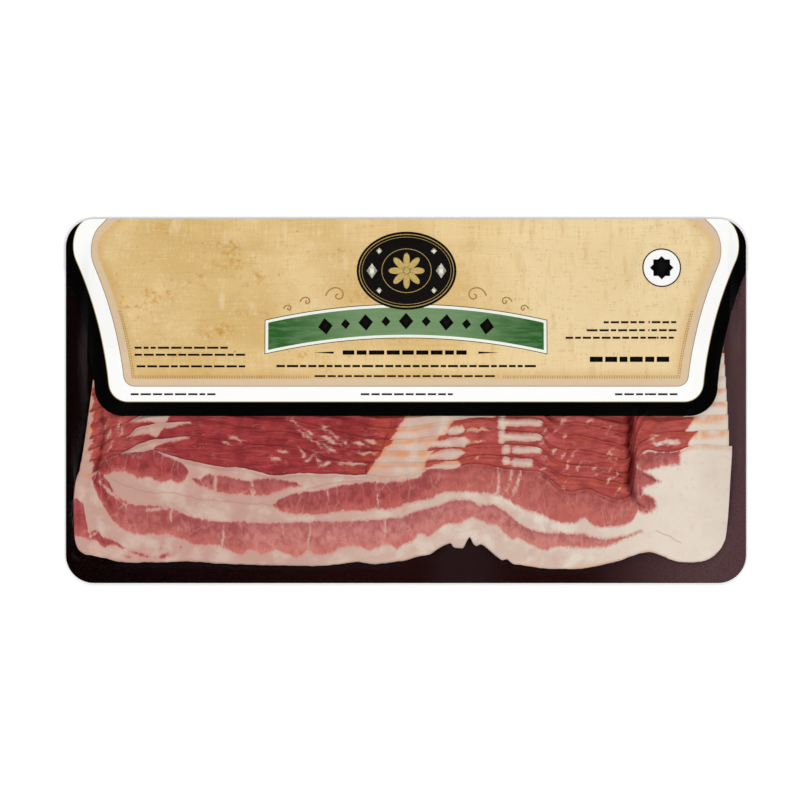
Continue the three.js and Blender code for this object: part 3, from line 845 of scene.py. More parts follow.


# %% [markdown]
# ## Slices as meshes
# The front slice shows in full, so its grid is fine all over. The strips are fine only near their back edges,
# where they show, and coarse below the slice in front. A last field is the distance behind the edge of the
# slice in front, where a painted shadow line darkens the meat.

# %% Meshing the slices
STRIP_SHOWN = 13      # as deep as a strip's fine grid reaches, in millimetres
FINE_FROM = 8         # the row where the fine grid takes over from the coarse one


def slice_grid(k):
    """Places on slice k: rows from its left end to its right, columns from its front edge to its back
    edge."""
    x = edge_dense(left_end(k), right_end(k), SOFT_RIM, 6, 500 if k == 0 else 440)
    if k == 0:
        y = edge_dense(front_edge(k, x), back_edge(k, x), BACK_RIM, 7, 80)
    else:
        y = edge_dense(back_edge(k, x) - STRIP_SHOWN, back_edge(k, x), BACK_RIM, 7, 20)
        front = front_edge(k, x)[:, None]
        under = front + (y[:, FINE_FROM:FINE_FROM + 1] - front) * np.linspace(0, 1, 6)[:-1]
        y = np.concatenate([under, y[:, FINE_FROM:]], 1)
    return np.broadcast_to(x[:, None], y.shape), y


def slice_piece(k):
    """Slice k as a closed sheet with its fields. The ends of the strips slant, so that they form one line."""
    x, y = slice_grid(k)
    bottom, top = slice_faces(k, x, y)
    nowhere = np.full(x.shape, NOWHERE)
    if k == 0:
        lean, share = front_lean(x, y)
        seam, gutter = seam_distance(x, y), nowhere
    else:
        lean, share = strip_lean(k, x, y), np.full(x.shape, 0.5)
        seam, gutter = nowhere, y - back_edge(k - 1, x)
    fields = {"lean": lean, "share": share, "seam": seam, "gutter": gutter, "fold": painted_fold_shade(x, y),
              "orange": orange_tint(k, x, y), "redness": redness(k, x, y)}
    if k > 0:
        slant = np.clip((y - back_edge(k, x)) / SLICE_STEP, -2, 0)
        x = x + END_STEP * slant * ease(108, 119, -x)
    return closed_sheet(f"slice_{k + 1}", x, y, top, bottom, fields)


slices = [slice_piece(k) for k in range(SHOWN_SLICES)]

# %% [markdown]
# ## Bacon
# Raw cured belly is moist: cream fat that turns pink where it meets lean, and lean whose fibres are cut
# across in the slice and run along the strips. One function makes both recipes. Noise is added to the depth
# in lean before it is compared with zero, and so the two colours reach into each other in small teeth.

# %% Fat and lean
def toothed_depth(meat, border, teeth):
    """The depth in lean with noise of two sizes added, and less along the borders of the muscle's bundles."""
    depth = meat.field("lean")
    for size, detail, stretch, amount in ((1.4, 4, (0.6, 1.4, 1), 1.1), (0.45, 3, (1, 1, 1), 0.55)):
        tooth = meat.minus(meat.noise(size, detail, stretch), 0.5)
        depth = meat.plus(depth, meat.times(tooth, amount * teeth))
    return meat.minus(depth, meat.spread(border, 0.14, 0.0, 0.0, 0.35 * teeth))


def fat_colour(meat, depth):
    """Cream, warmer to the left and paler to the right, with clouds, a blush by the lean, hairs and seams."""
    across = meat.axis(0)
    leftish = meat.spread(across, 0.08, 0.02, 0.15, 1.0)
    cloud = meat.coats(shade(209, 181, 166), (meat.spread(across, -0.05, 0.06), shade(226, 211, 195)))
    hair = meat.unsigned(meat.minus(meat.noise(11, 2, (1.5, 0.7, 1)), 0.5))
    seam = meat.spread(meat.unsigned(meat.field("seam")), 0.42, 0.1)
    return meat.coats(
        shade(195, 154, 140),
        (meat.spread(across, -0.06, 0.03), shade(210, 184, 168)),
        (meat.spread(across, 0.055, 0.098), shade(229, 215, 200)),
        (meat.spread(meat.noise(8, 4), 0.42, 0.66), cloud),
        (meat.times(meat.spread(meat.noise(6, 4), 0.5, 0.7, 0.0, 0.55), leftish), shade(202, 154, 141)),
        (meat.spread(depth, -1.1, -0.1, 0.0, 0.7), shade(200, 144, 132)),
        (meat.spread(meat.noise(2.2, 4), 0.58, 0.74, 0.0, 0.18), shade(196, 148, 134)),
        (meat.times(meat.spread(hair, 0.006, 0.002, 0.0, 0.2), leftish), shade(188, 140, 126)),
        (meat.times(seam, 0.45), shade(182, 122, 110)),
    )


def lean_colour(meat, depth, border, fibre, pale_low, pale_high, teeth):
    """Pale to deep red by the stored redness, streaked by fibres, with threads of fat between the bundles."""
    shift = meat.plus(meat.times(fibre, 0.5), meat.times(meat.noise(4.2, 3), 0.5))
    streak = meat.spread(shift, 0.36, 0.64)
    pale = meat.coats(pale_low, (streak, pale_high))
    deep = meat.coats(shade(130, 27, 33), (streak, shade(166, 50, 51)))
    thread = meat.times(meat.spread(border, 0.09, 0.01, 0.0, 0.3 * teeth),
                        meat.spread(meat.noise(7, 3), 0.44, 0.64, 0.12, 0.8))
    return meat.coats(
        pale,
        (meat.field("redness"), deep),
        (meat.spread(meat.field("share"), 0.45, 0.0, 0.0, 0.4), shade(150, 66, 78)),
        (meat.spread(meat.field("share"), 0.55, 1.0, 0.0, 0.4), shade(212, 118, 104)),
        (meat.spread(depth, 0.7, 0.0, 0.0, 0.35), shade(206, 132, 122)),
        (thread, shade(222, 164, 152)),
        (meat.spread(meat.noise(0.9, 2), 0.7, 0.78, 0.0, 0.4), shade(226, 176, 164)),
    )


# %% Bacon material
def bacon_recipe(name, fibre_stretch, fibre_size, bundle, pale_low, pale_high, teeth):
    """Fat, lean, orange tint, painted edge shadows and painted fold shade, in this order, each laid over the
    last.
    """
    meat = Recipe(name, Roughness=0.4, Specular_IOR_Level=0.2)
    border = meat.cells(*bundle)
    depth = toothed_depth(meat, border, teeth)
    fibre = meat.noise(fibre_size, 4, fibre_stretch, 0.55)
    in_lean = meat.spread(depth, -0.2, 0.25)
    orange = meat.coats(shade(232, 152, 96), (in_lean, shade(190, 80, 50)))
    patchy = meat.times(meat.spread(meat.noise(3, 4), 0.3, 0.66, 0.3, 0.8),
                        meat.spread(in_lean, 0.0, 1.0, 1.0, 0.7))
    # Painted shadow: dark red just behind the edge of the slice in front, strong on lean and faint on fat
    gutter = meat.times(meat.spread(meat.field("gutter"), 0.9, 0.0, 0.0, 0.55),
                        meat.spread(in_lean, 0.0, 1.0, 0.06, 1.0))
    meat.dye(meat.coats(
        fat_colour(meat, depth),
        (in_lean, lean_colour(meat, depth, border, fibre, pale_low, pale_high, teeth)),
        (meat.times(meat.field("orange"), patchy), orange),
        (gutter, shade(112, 20, 22)),
        # Painted shade: dark red in the creases, the notch and the crack
        (meat.field("fold"), shade(100, 9, 11)),
    ))
    meat.bump(meat.plus(fibre, meat.noise(0.4, 2)), 0.1, 0.4)
    return meat.material


front_meat = bacon_recipe("front_slice_meat", (0.8, 1.3, 1), 2.0, (3.4, 9.0),
                          shade(178, 96, 91), shade(206, 134, 124), 1.0)
strip_meat = bacon_recipe("strip_meat", (8, 1, 1), 0.9, (14.0, 2.0),
                          shade(178, 72, 66), shade(204, 104, 94), 0.6)
for piece in slices:
    piece.data.materials.append(front_meat if piece is slices[0] else strip_meat)
    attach(piece, "root")
    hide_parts(f"bacon_{piece.name}")
print("nodes in the front slice's material:", len(front_meat.node_tree.nodes))

# %% The hidden slices' material
def recoat(node_name, recipe):
    """Gives one of the frame's own solids a new material, and leaves its mesh alone."""
    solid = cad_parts[node_name]
    solid.data.materials.clear()
    solid.data.materials.append(recipe.material)
    print(node_name, "is now", recipe.material.name)


plain_meat = Recipe("hidden_bacon", Roughness=0.4)
streaks = plain_meat.spread(plain_meat.noise(5, 4, (4, 1, 1)), 0.42, 0.58)
plain_meat.dye(plain_meat.coats(shade(160, 66, 64), (streaks, shade(212, 182, 166))))
recoat("hidden_bacon_stack", plain_meat)

# %% [markdown]
# ## Backing board
# The board is the frame's own solid: dark coated card. It only needs a material. Painted light falls across
# it:
# its colour goes from nearly black at the left to a greyish plum at the right, with a lighter patch by the
# bay and a fine speckle.

# %% Board material
card = Recipe("coated_board", Roughness=0.5, Specular_IOR_Level=0.0)
card_x = card.axis(0)
card_bay = card.times(card.spread(card_x, 0.004, 0.016), card.spread(card_x, 0.042, 0.024))
# Painted light: the colour grows from nearly black at the left to greyish plum at the right; a lighter patch
# by the bay and a speckle lie on top
card.dye(card.coats(
    shade(5, 0, 0),
    (card.spread(card_x, -0.125, 0.02), shade(30, 9, 8)),
    (card.spread(card_x, 0.062, 0.116), shade(88, 62, 65)),
    (card.times(card_bay, 0.5), shade(46, 31, 35)),
    (card.times(card.spread(card.noise(0.7, 3), 0.35, 0.7), 0.35), shade(40, 24, 25)),
))
card.bump(card.noise(0.4, 2), 0.04, 0.3)
recoat("backing_board", card)

# %% [markdown]
# ## Film
# Vacuum pulls the film onto the pile and leaves it free only where it spans from one height to the next. A
# cloth simulation would find that shape slowly. Closing finds it at once: a parabola, swept from above over
# the pile's height grid, keeps out of narrow gaps just as taut film does. The weld at the rim holds it down.

# %% A grid of heights over the pack
GRID_STEP = 0.5
GRID_MARGIN = 3
PACK_CORNER = 10.5
grid_x, grid_y = (np.arange(-half - GRID_MARGIN, half + GRID_MARGIN + 0.1, GRID_STEP) for half in pack_half)
gx, gy = np.meshgrid(grid_x, grid_y, indexing="ij")


def outline_inset(x, y):
    """Distance in from the pack's outline, a rectangle with round corners; less than 0 outside."""
    return rounded(pack_half[0] - np.abs(x), pack_half[1] - np.abs(y), PACK_CORNER)


def sample(heights, x, y):
    """A grid's value between its points, by straight lines in x and in y."""
    u = np.clip((x - grid_x[0]) / GRID_STEP, 0, len(grid_x) - 1.001)
    v = np.clip((y - grid_y[0]) / GRID_STEP, 0, len(grid_y) - 1.001)
    i, j = np.floor(u).astype(int), np.floor(v).astype(int)
    fu, fv = u - i, v - j
    near = heights[i, j] * (1 - fu) + heights[i + 1, j] * fu
    far = heights[i, j + 1] * (1 - fu) + heights[i + 1, j + 1] * fu
    return near * (1 - fv) + far * fv


print("height grid:", gx.shape)

# %% Top of the pile
FRAME_COARSE = 3      # the frame's steps along x, in grid steps


def pile_top(x, y):
    """The pile's upper surface: the highest of the slices at a place, and the hidden ones further back, whose
    solid is the frame's with its coarse steps along x."""
    unseen = hidden_top(x, y)
    height = np.maximum.reduce([np.roll(unseen, step, 0) for step in range(-FRAME_COARSE, FRAME_COARSE + 1)])
    for k in range(SHOWN_SLICES):
        here = (y > front_edge(k, x)) & (y < back_edge(k, x))
        here = here & (x > left_end(k) - END_STEP) & (x < right_end(k))
        bottom, top = slice_faces(k, x, y)
        height = np.where(here, np.maximum(height, top), height)
    return height


pile = pile_top(gx, gy)
for axis in (0, 1):
    pile = np.maximum.reduce([pile, np.roll(pile, 1, axis), np.roll(pile, -1, axis)])
print("pile, mm high:", round(float(pile.max()), 2))

# %% Film drape
TALLEST = 20
FILM_BRIDGE = 4.0     # the radius, in millimetres, of the tightest bend that the film takes
WELD_WIDTH = 2.2
WELD_SLOPE = 5.5      # how steeply the film may climb from the weld


def swept(height, radius, sign):
    """The highest (sign 1) or lowest (sign -1) that a bowl of that radius reaches as it slides under or over
    the surface: the bowl is a parabola, so x and y are swept one after the other."""
    reach = int(math.sqrt(2 * radius * TALLEST) / GRID_STEP)
    for axis in (0, 1):
        best = height.copy()
        for offset in range(-reach, reach + 1):
            drop = (offset * GRID_STEP) ** 2 / (2 * radius)
            moved = np.roll(height, offset, axis) - sign * drop
            best = np.maximum(best, moved) if sign > 0 else np.minimum(best, moved)
        height = best
    return height


def bridged(height, radius):
    """Closing: swept from above and then from below, so that only hollows narrower than the bowl are
    filled."""
    return swept(swept(height, radius, 1), radius, -1)


def soften(height, passes):
    """Each value moves to the mean of itself and its four neighbours, passes times."""
    for _ in range(passes):
        around = sum(np.roll(height, step, axis) for axis in (0, 1) for step in (-1, 1))
        height = (height * 2 + around) / 6
    return height


weld = board_top + 0.03 + WELD_SLOPE * np.maximum(0, outline_inset(gx, gy) - WELD_WIDTH)
drape = np.maximum(np.minimum(bridged(pile, FILM_BRIDGE), weld), np.minimum(pile + 0.02, weld + 2))
drape = np.maximum(soften(drape, 3), np.minimum(pile + 0.03, drape)) + 0.08
print("film, mm: lowest", round(float(drape.min()), 2), "highest", round(float(drape.max()), 2))

# %% Film mesh
FILM_THICKNESS = 0.12


def film_piece():
    """The film as a closed sheet whose columns run between the pack's front and back outline."""
    half_x, half_y = pack_half
    columns = edge_dense(-half_x, half_x, PACK_CORNER, 26, 250)
    straight = np.maximum(np.abs(columns) - (half_x - PACK_CORNER), 0)
    reach = half_y - PACK_CORNER + np.sqrt(np.maximum(PACK_CORNER**2 - straight**2, 0))
    y = edge_dense(-reach, reach, 6.0, 12, 130)
    x = np.broadcast_to(columns[:, None], y.shape)
    low = sample(drape, x, y)
    return closed_sheet("film", x, y, low + FILM_THICKNESS, low)


film = film_piece()

# %% [markdown]
# ## Clear film as a material
# A film this thin bends no light, so glass would only make the render slow and the slices dim. It is a mix:
# nearly all of it lets light straight through, and a small share, which grows where the film is seen at a
# slant, is gloss with soft folds. The share has an upper limit, because the steep film at the rim would turn
# white.

# %% Film material
FILM_IOR = 1.055
MOST_GLOSS = 0.012

clear = Recipe("clear_film")
folds = clear.add("ShaderNodeBump", Height=clear.noise(9, 4, (1, 3, 1)), Distance=0.2 * MM, Strength=0.3)
gloss = clear.add("ShaderNodeBsdfGlossy", Roughness=0.22, Normal=folds)
gloss_share = clear.math("MINIMUM", clear.add("ShaderNodeFresnel", IOR=FILM_IOR), MOST_GLOSS)
mixed = clear.add("ShaderNodeMixShader")
for socket, value in zip(mixed.node.inputs, (gloss_share, clear.add("ShaderNodeBsdfTransparent"), gloss)):
    clear.give(socket, value)
clear.give(clear.tree.nodes["Material Output"].inputs["Surface"], mixed)
clear.tree.nodes.remove(clear.shader)
film.data.materials.append(clear.material)
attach(film, "root")
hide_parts("clear_film")
print("at most", MOST_GLOSS, "of the light is mirrored by the film")

# %% [markdown]
# ## Label
# The label is a thin printed sheet over the film. It is stiffer than the film, so a wider parabola is swept
# over the drape: the label spans what the film dips into. Its outline runs straight up from the front corners
# and then flares like a parabola to the pack's rim. The print's outlines are stored as distances, as the
# marbling is.

# %% How the label drapes
LABEL_BRIDGE = 60
LABEL_THICKNESS = 0.12

inset = outline_inset(gx, gy)
slack = 0.25 + 0.25 * np.maximum(0, inset - 9)
label_drape = soften(drape + np.minimum(bridged(drape, LABEL_BRIDGE) - drape, slack), 24)
label_drape = np.maximum(label_drape, drape) + FILM_THICKNESS + 0.12
label_gap = (label_drape - drape - FILM_THICKNESS)[inset > 0]
print("label above film, mm: up to", round(float(label_gap.max()), 2))

# %% The label's outline and mesh
LABEL_FRONT = -5.6
LABEL_CORNER = 11
LABEL_HALF = 116.0
LABEL_FLARE = 0.085
LABEL_FLARE_GROWTH = 0.0039
WHITE_FROM, PARCHMENT_FROM = 5.2, 11.1     # distances in from the label's edge
WHITE_CORNER, PARCHMENT_CORNER = 7.0, 3.5
SHOULDER = 179.6      # where x and y together reach this, the corners at the back are cut off
SHOULDER_CORNER = 9.0
RIBBON_TOP, RIBBON_DROP, RIBBON_SPAN = 29.75, 6.05, 52.85


def label_side(y):
    """Half the label's width: straight up the front corner, then flaring as a parabola."""
    past = np.maximum(y - (LABEL_FRONT + LABEL_CORNER), 0)
    return LABEL_HALF + LABEL_FLARE * past + LABEL_FLARE_GROWTH * past**2


def ribbon_middle(x):
    """The green ribbon's middle line: an arch that drops with the square of x."""
    return RIBBON_TOP - RIBBON_DROP * (x / RIBBON_SPAN) ** 2


def label_grid():
    """Places on the label: rows between its two sides, which are round at the front and at the pack's
    corners."""
    half_x, half_y = pack_half
    rows = edge_dense(LABEL_FRONT, half_y, LABEL_CORNER, 20, 112)
    into = np.maximum(LABEL_FRONT + LABEL_CORNER - rows, 0)
    round_front = LABEL_HALF - LABEL_CORNER + np.sqrt(np.maximum(LABEL_CORNER**2 - into**2, 0))
    past = np.maximum(rows - (half_y - PACK_CORNER), 0)
    round_back = half_x - PACK_CORNER + np.sqrt(np.maximum(PACK_CORNER**2 - past**2, 0))
    half = np.minimum(np.where(into > 0, round_front, label_side(rows)), round_back)
    x = edge_dense(-half, half, 2.0, 6, 306).T
    return x, np.broadcast_to(rows[None, :], x.shape)


def print_fields(x, y):
    """Distances that the print is cut by: in from the parchment's edge and the white band's, along the edge,
    and above the ribbon's middle line."""
    side, front = (label_side(y) - np.abs(x)) * 0.97, y - LABEL_FRONT
    shoulder = (SHOULDER - np.abs(x) - y) / math.sqrt(2)
    panel = rounded(side - PARCHMENT_FROM, front - PARCHMENT_FROM, PARCHMENT_CORNER)
    border = rounded(side - WHITE_FROM, front - WHITE_FROM, WHITE_CORNER)
    return {
        "panel": rounded(panel, shoulder, SHOULDER_CORNER),
        "border": rounded(border, shoulder + PARCHMENT_FROM - WHITE_FROM, SHOULDER_CORNER),
        "run": np.where(front < side, np.abs(x), LABEL_HALF + y),
        "ribbon": y - ribbon_middle(x),
    }


label_x, label_y = label_grid()
label_low = sample(label_drape, label_x, label_y)
label = closed_sheet("printed_label", label_x, label_y, label_low + LABEL_THICKNESS, label_low,
                     print_fields(label_x, label_y))

# %% [markdown]
# ## Print
# The print is fields of colour: aged parchment with a fine crossed weave, ochre stains and a lighter rim, a
# white band, a black border with a thin gold line, and a green ribbon on an arch. Each is laid over the last
# where its stored distance passes zero. A row of stitches is a thin line at one distance, cut by the run
# along the edge.

# %% Parchment
PRINT_FINISH = {"Roughness": 0.35, "Specular_IOR_Level": 0.02}
ink = Recipe("label_print", **PRINT_FINISH)
panel, border, run, ribbon = (ink.field(name) for name in ("panel", "border", "run", "ribbon"))
here_x, here_y = ink.axis(0), ink.axis(1)
leftward = ink.spread(here_x, 0.035, -0.045)

weave = ink.plus(ink.noise(0.7, 2, (14, 1, 1)), ink.noise(0.7, 2, (1, 14, 1)))
blotch = ink.times(ink.spread(ink.noise(15, 5, roughness=0.72), 0.55, 0.66),
                   ink.spread(ink.noise(2.0, 4, roughness=0.7), 0.42, 0.6))
smears = ink.times(ink.spread(ink.noise(6, 4, (0.5, 2.4, 1)), 0.54, 0.72), ink.minus(1.0, leftward))
pale_patch = ink.spread(ink.noise(9, 4, (0.6, 1.6, 1)), 0.6, 0.76, 0.0, 0.5)
speck = ink.spread(ink.noise(2.2, 3), 0.69, 0.75)
halo = ink.spread(panel, 7.5, 3.2)
rim_colour = ink.coats(shade(216, 190, 156), (ink.noise(2, 3), shade(226, 200, 166)))
parchment = ink.coats(
    shade(238, 208, 153),
    (ink.spread(ink.noise(34, 4), 0.38, 0.64), shade(225, 191, 131)),
    (ink.spread(here_x, 0.02, 0.055, 0.0, 0.6), shade(243, 221, 176)),
    (ink.times(leftward, ink.spread(ink.noise(20, 4), 0.4, 0.62, 0.1, 0.6)), shade(214, 178, 114)),
    (ink.spread(weave, 1.12, 1.3, 0.0, 0.4), shade(198, 160, 104)),
    (ink.spread(weave, 0.9, 0.72, 0.0, 0.35), shade(240, 222, 182)),
    (ink.times(blotch, ink.plus(ink.times(leftward, 0.62), 0.14)), shade(198, 140, 52)),
    (ink.times(smears, 0.3), shade(206, 164, 98)),
    (pale_patch, shade(240, 220, 178)),
    (ink.times(speck, ink.plus(ink.times(leftward, 0.4), 0.15)), shade(176, 122, 52)),
    (ink.times(halo, 0.4), shade(206, 160, 94)),
    (ink.spread(panel, 3.0, 2.5), rim_colour),
)
print("nodes in the parchment:", len(ink.tree.nodes))

# %% Stitches and bands
STITCH = 0.92
STITCHES_BELOW = 0.034
STITCHES_BESIDE = 0.036
STITCH_ROWS = (3.1, 3.75)      # distances in from the parchment's edge


def line_near(distance, place, half):
    """1 where a stored distance is within half of a place, else 0."""
    return ink.math("COMPARE", distance, place, half)


beat = ink.math("LESS_THAN", ink.math("FRACT", ink.times(run, 1 / STITCH)), 0.55)
beat = ink.times(beat, ink.math("LESS_THAN", here_y, STITCHES_BELOW))
beat = ink.times(beat, ink.math("GREATER_THAN", ink.unsigned(here_x), STITCHES_BESIDE))
for row in STITCH_ROWS:
    stitches = ink.times(line_near(panel, row, 0.17), beat)
    parchment = ink.coats(parchment, (ink.times(stitches, 0.7), shade(128, 88, 48)))
bands = ink.coats(
    (1.0, 1.0, 0.98),
    (ink.spread(panel, -0.04, 0.04), parchment),
    (line_near(panel, 0.0, 0.14), shade(150, 122, 110)),
    (line_near(border, 0.12, 0.14), shade(176, 158, 96)),
    (ink.spread(border, 0.04, -0.04), shade(3, 2, 2)),
)
print("rows of stitches:", len(STITCH_ROWS))

# %% Ribbon
RIBBON_HALF = 52.6
RIBBON_HEIGHT = 6.45


def ribbon_part(moved_in):
    """1 inside the ribbon's outline moved in by that much, else 0."""
    across = line_near(ribbon, 0.0, RIBBON_HEIGHT - moved_in)
    return ink.times(across, line_near(here_x, 0.0, (RIBBON_HALF - moved_in) * MM))


# Painted highlight: the green is lighter in the ribbon's middle and darker towards its ends
green = ink.coats(
    shade(116, 146, 104),
    (ink.spread(ink.unsigned(here_x), 0.012, 0.05), shade(46, 96, 42)),
    (ink.spread(ink.noise(1.2, 4, (6, 1, 1)), 0.4, 0.65, 0.0, 0.25), shade(138, 166, 124)),
)
ink.dye(ink.coats(bands, (ribbon_part(0.0), shade(60, 74, 50)), (ribbon_part(0.3), shade(244, 246, 236)),
                  (ribbon_part(1.35), green)))
label.data.materials.append(ink.material)
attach(label, "root")
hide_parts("label")
print("ribbon, mm:", 2 * RIBBON_HALF, "by", 2 * RIBBON_HEIGHT)

# %% [markdown]
# ## Small marks on the label
# Over the fields of colour lie small marks: an oval with rings and a rosette, a row of lozenges on the
# ribbon, a disc with a star, curls and rows of dashes. Too fine for the label's own grid, they are patches of
# their own, some hundredths of a millimetre thick, that follow the label's surface. Marks of one ink are one
# piece.

# %% Patches that lie on the label
INK_LIFT = 0.05


def turned(points, centres, turns):
    """Each sheet of points turned by its angle, in degrees, and moved to its centre."""
    a = np.radians(np.asarray(turns, float))[:, None, None]
    u, v = points[..., 0], points[..., 1]
    spun = np.stack([u * np.cos(a) - v * np.sin(a), u * np.sin(a) + v * np.cos(a)], -1)
    return spun + np.asarray(centres, float)[:, None, None, :]


def ovals(centres, halves, turns, count=9):
    """Filled ovals from square grids: u times the root of (1 minus half of v squared), and the same for v."""
    u, v = np.meshgrid(np.linspace(-1, 1, count), np.linspace(-1, 1, count), indexing="ij")
    disc = np.stack([u * np.sqrt(1 - v * v / 2), v * np.sqrt(1 - u * u / 2)], -1)
    return turned(disc * np.asarray(halves, float)[:, None, None, :], centres, turns)


def blocks(centres, halves, turns):
    """Filled rectangles of those half sizes."""
    u, v = np.meshgrid([-1, 0, 1], [-1, 0, 1], indexing="ij")
    return turned(np.stack([u, v], -1) * np.asarray(halves, float)[:, None, None, :], centres, turns)


def lozenges(centres, halves, turns):
    """Filled rhombuses: a square grid turned by 45 degrees and stretched to the half sizes."""
    u, v = np.meshgrid([-1, 0, 1], [-1, 0, 1], indexing="ij")
    points = np.stack([(u + v) / 2, (v - u) / 2], -1) * np.asarray(halves, float)[:, None, None, :]
    return turned(points, centres, turns)


def stroke(x, y, half):
    """A drawn line: three points across, to the left and right of its course, at every place along it."""
    ahead = np.stack([np.gradient(x), np.gradient(y)], -1)
    ahead /= np.hypot(*ahead.T)[:, None]
    left = np.stack([-ahead[:, 1], ahead[:, 0]], -1)
    across = np.broadcast_to(half, x.shape)[:, None, None] * np.array([-1, 0, 1])[None, :, None]
    return (np.stack([x, y], -1)[:, None] + left[:, None] * across)[None]


def oval_ring(cx, cy, a, b, half, count=96):
    """A ring as a stroke along an ellipse. Its last row is joined to its first."""
    t = np.linspace(0, 2 * math.pi, count, endpoint=False)
    wide = np.concatenate([t[-1:] - 2 * math.pi, t, 2 * math.pi + t[:1]])
    return stroke(cx + a * np.cos(wide), cy + b * np.sin(wide), half)[:, 1:-1]


def dashes(left, right, top, bottom, seed, widths=(1.8, 4.2), gap=0.75):
    """A row of dashes of uneven lengths between four sides given in pixels."""
    (x0, y0), (x1, y1) = from_photo([(left, bottom), (right, top)])
    rng = np.random.default_rng(seed)
    width = rng.uniform(*widths, 120)
    step = width + gap
    middle = x0 + np.cumsum(step) - step + width / 2
    kept = middle + width / 2 < x1
    centres = np.stack([middle[kept], np.full(kept.sum(), (y0 + y1) / 2)], -1)
    halves = np.stack([width[kept] / 2, np.full(kept.sum(), 0.2 * (y1 - y0))], -1)
    return blocks(centres, halves, np.zeros(kept.sum()))


def marks(name, colour, lift, sheets, rings=()):
    """One piece from many small sheets: each has an upper and a lower grid that share their rim."""
    points, faces, count = [], [], 0
    for grids, looped in [(sheet, False) for sheet in sheets] + [(ring, True) for ring in rings]:
        inner, cells = sheet_parts(*grids.shape[1:3], looped)
        height = sample(label_drape, grids[..., 0], grids[..., 1]) + LABEL_THICKNESS + lift
        upper = np.concatenate([grids, height[..., None]], -1)
        lower = upper - [0, 0, INK_LIFT / 2]
        both = np.concatenate([upper.reshape(len(grids), -1, 3), lower[:, inner]], 1)
        each = both.shape[1]
        faces.append((cells[None] + count + each * np.arange(len(grids))[:, None, None]).reshape(-1, 4))
        points.append(both.reshape(-1, 3))
        count += len(grids) * each
    piece = put_in_mesh(name, np.concatenate(points), np.concatenate(faces))
    paint = Recipe(name + "_ink", **PRINT_FINISH)
    worn = shade(*[min(255, value * 1.12 + 5) for value in colour])
    paint.dye(paint.coats(shade(*colour), (paint.spread(paint.noise(0.6, 3), 0.35, 0.7), worn)))
    piece.data.materials.append(paint.material)
    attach(piece, "root")
    return piece


# %% Dashes, rules and the dark oval
FIRST_LIFT, SECOND_LIFT = 0.06, 0.11     # how high the first ink lies on the print, and the one over it
OVAL = (0.2, 48.6)
DASH_ROWS = [(136, 235, 345.5, 350.5), (136, 255, 352.5, 357.5), (138, 257, 364, 369), (277, 539, 363.5, 369),
             (315, 498, 374, 378.5), (603, 679, 320, 325), (586, 679, 328, 333), (565, 679, 335.5, 340.5),
             (132, 219, 392, 396.5), (361, 455, 392, 396.5), (614, 681, 392, 396.5)]
DASH_SEED = 60
ON_RIBBON = 9
rows = [dashes(*row, DASH_SEED + number) for number, row in enumerate(DASH_ROWS)]
rows.append(dashes(343, 469, 347.5, 358, 81, (3.0, 6.0), 0.9))
rows.append(dashes(589, 674, 353, 366, 82, (2.4, 4.8), 0.9))
rule_x = np.linspace(0, 7.4, 12)
rules = [stroke(np.sign(s) * 26.9 + s * rule_x, np.full(12, 18.0), 0.38 * (1.02 - rule_x / 7.4))
         for s in (-1, 1)]
ribbon_steps = np.linspace(-30, 30, ON_RIBBON)
ribbon_turns = np.degrees(np.arctan(-2 * RIBBON_DROP * ribbon_steps / RIBBON_SPAN**2))
ribbon_places = np.stack([ribbon_steps, ribbon_middle(ribbon_steps)], -1)
wide_and_slim = np.where(np.arange(ON_RIBBON) % 2 == 0, 1.0, 0.62)

marks("oval_and_dashes", (16, 12, 12), FIRST_LIFT,
      [ovals([OVAL], [(18.6, 14.6)], [0], 33),
       lozenges(ribbon_places, np.outer(wide_and_slim, [2.7, 3.1]), ribbon_turns), *rows, *rules])

# %% Oval and rosette
PETALS = 8
petal_turns = np.arange(PETALS) * 360 / PETALS
petal_places = np.stack([np.cos(np.radians(petal_turns)), np.sin(np.radians(petal_turns))], -1)

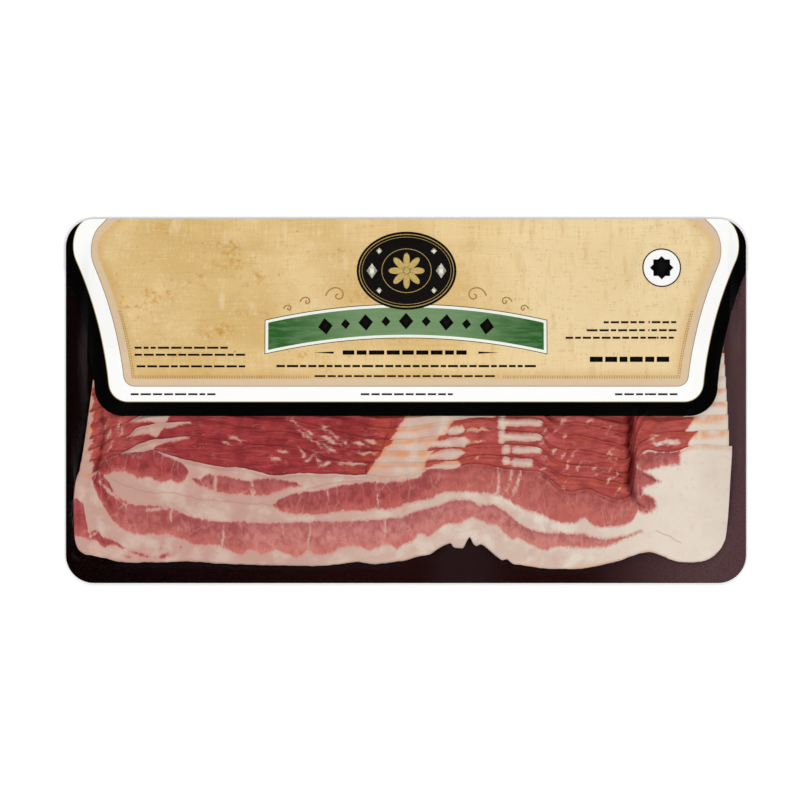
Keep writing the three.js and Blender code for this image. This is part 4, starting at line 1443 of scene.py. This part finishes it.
round_oval = np.array(OVAL)
marks("gold_lines", (186, 160, 96), SECOND_LIFT,
      [ovals(round_oval + 3.9 * petal_places, [(2.9, 1.25)] * PETALS, petal_turns),
       ovals([OVAL], [(1.5, 1.5)], [0])],
      [oval_ring(*OVAL, 17.6, 13.6, 0.16), oval_ring(*OVAL, 16.6, 12.6, 0.08),
       oval_ring(*OVAL, 9.2, 8.2, 0.12)])
marks("cream_lozenges", (240, 232, 208), SECOND_LIFT,
      [lozenges(round_oval + [(-12.9, 0), (12.9, 0)], [(2.0, 2.9)] * 2, [0, 0]),
       lozenges(round_oval + [(-10.2, 7.4), (10.2, 7.4), (-10.2, -7.4), (10.2, -7.4)], [(1.2, 1.2)] * 4,
                [0] * 4)])

# %% Disc and curls
DISC = (95.3, 49.7)
CURLS = [(474, 296, 12), (505, 302, 6.5), (523, 309, 5)]      # pixels: their middles and sizes
marks("white_disc", (252, 252, 250), FIRST_LIFT, [ovals([DISC], [(7.2, 7.2)], [0], 21)])
marks("disc_star", (14, 12, 14), SECOND_LIFT, [blocks([DISC, DISC], [(3.1, 3.1)] * 2, [0, 45])],
      [oval_ring(*DISC, 7.0, 7.0, 0.22)])

curl_turn = np.linspace(0, 2.6 * math.pi, 60)
curl = np.exp(-0.28 * curl_turn) * PHOTO_SCALE
curls = []
for px, py, size in CURLS:
    (cx, cy), = from_photo([(px, py)])
    u, v = size * curl * np.cos(curl_turn), size * curl * np.sin(curl_turn)
    curls += [stroke(cx + u, cy + v, 0.22), stroke(-cx - u, cy + v, 0.22)]
marks("brown_curls", (176, 134, 78), FIRST_LIFT, curls)

# %% [markdown]
# ## Floor
# The pack lies on a white floor that fades into the white around it, so it glows a little. The floor is
# stage, not part of the pack.

# %% Floor
FLOOR_HALF = 3
FLOOR_DEPTH = -0.0002
floor_mesh = bpy.data.meshes.new("floor")
floor_corners = [(FLOOR_HALF * u, FLOOR_HALF * v, FLOOR_DEPTH)
                 for u, v in ((-1, -1), (1, -1), (1, 1), (-1, 1))]
floor_mesh.from_pydata(floor_corners, [], [(0, 1, 2, 3)])
floor = bpy.data.objects.new("floor", floor_mesh)
bpy.context.scene.collection.objects.link(floor)
white = Recipe("pale_floor", Roughness=0.9, Emission_Color=(1, 1, 1, 1), Emission_Strength=0.16)
white.dye(white.coats((0.97, 0.97, 0.97), (white.noise(300, 2), (0.99, 0.99, 0.99))))
floor.data.materials.append(white.material)
print("floor, m:", 2 * FLOOR_HALF, "wide")
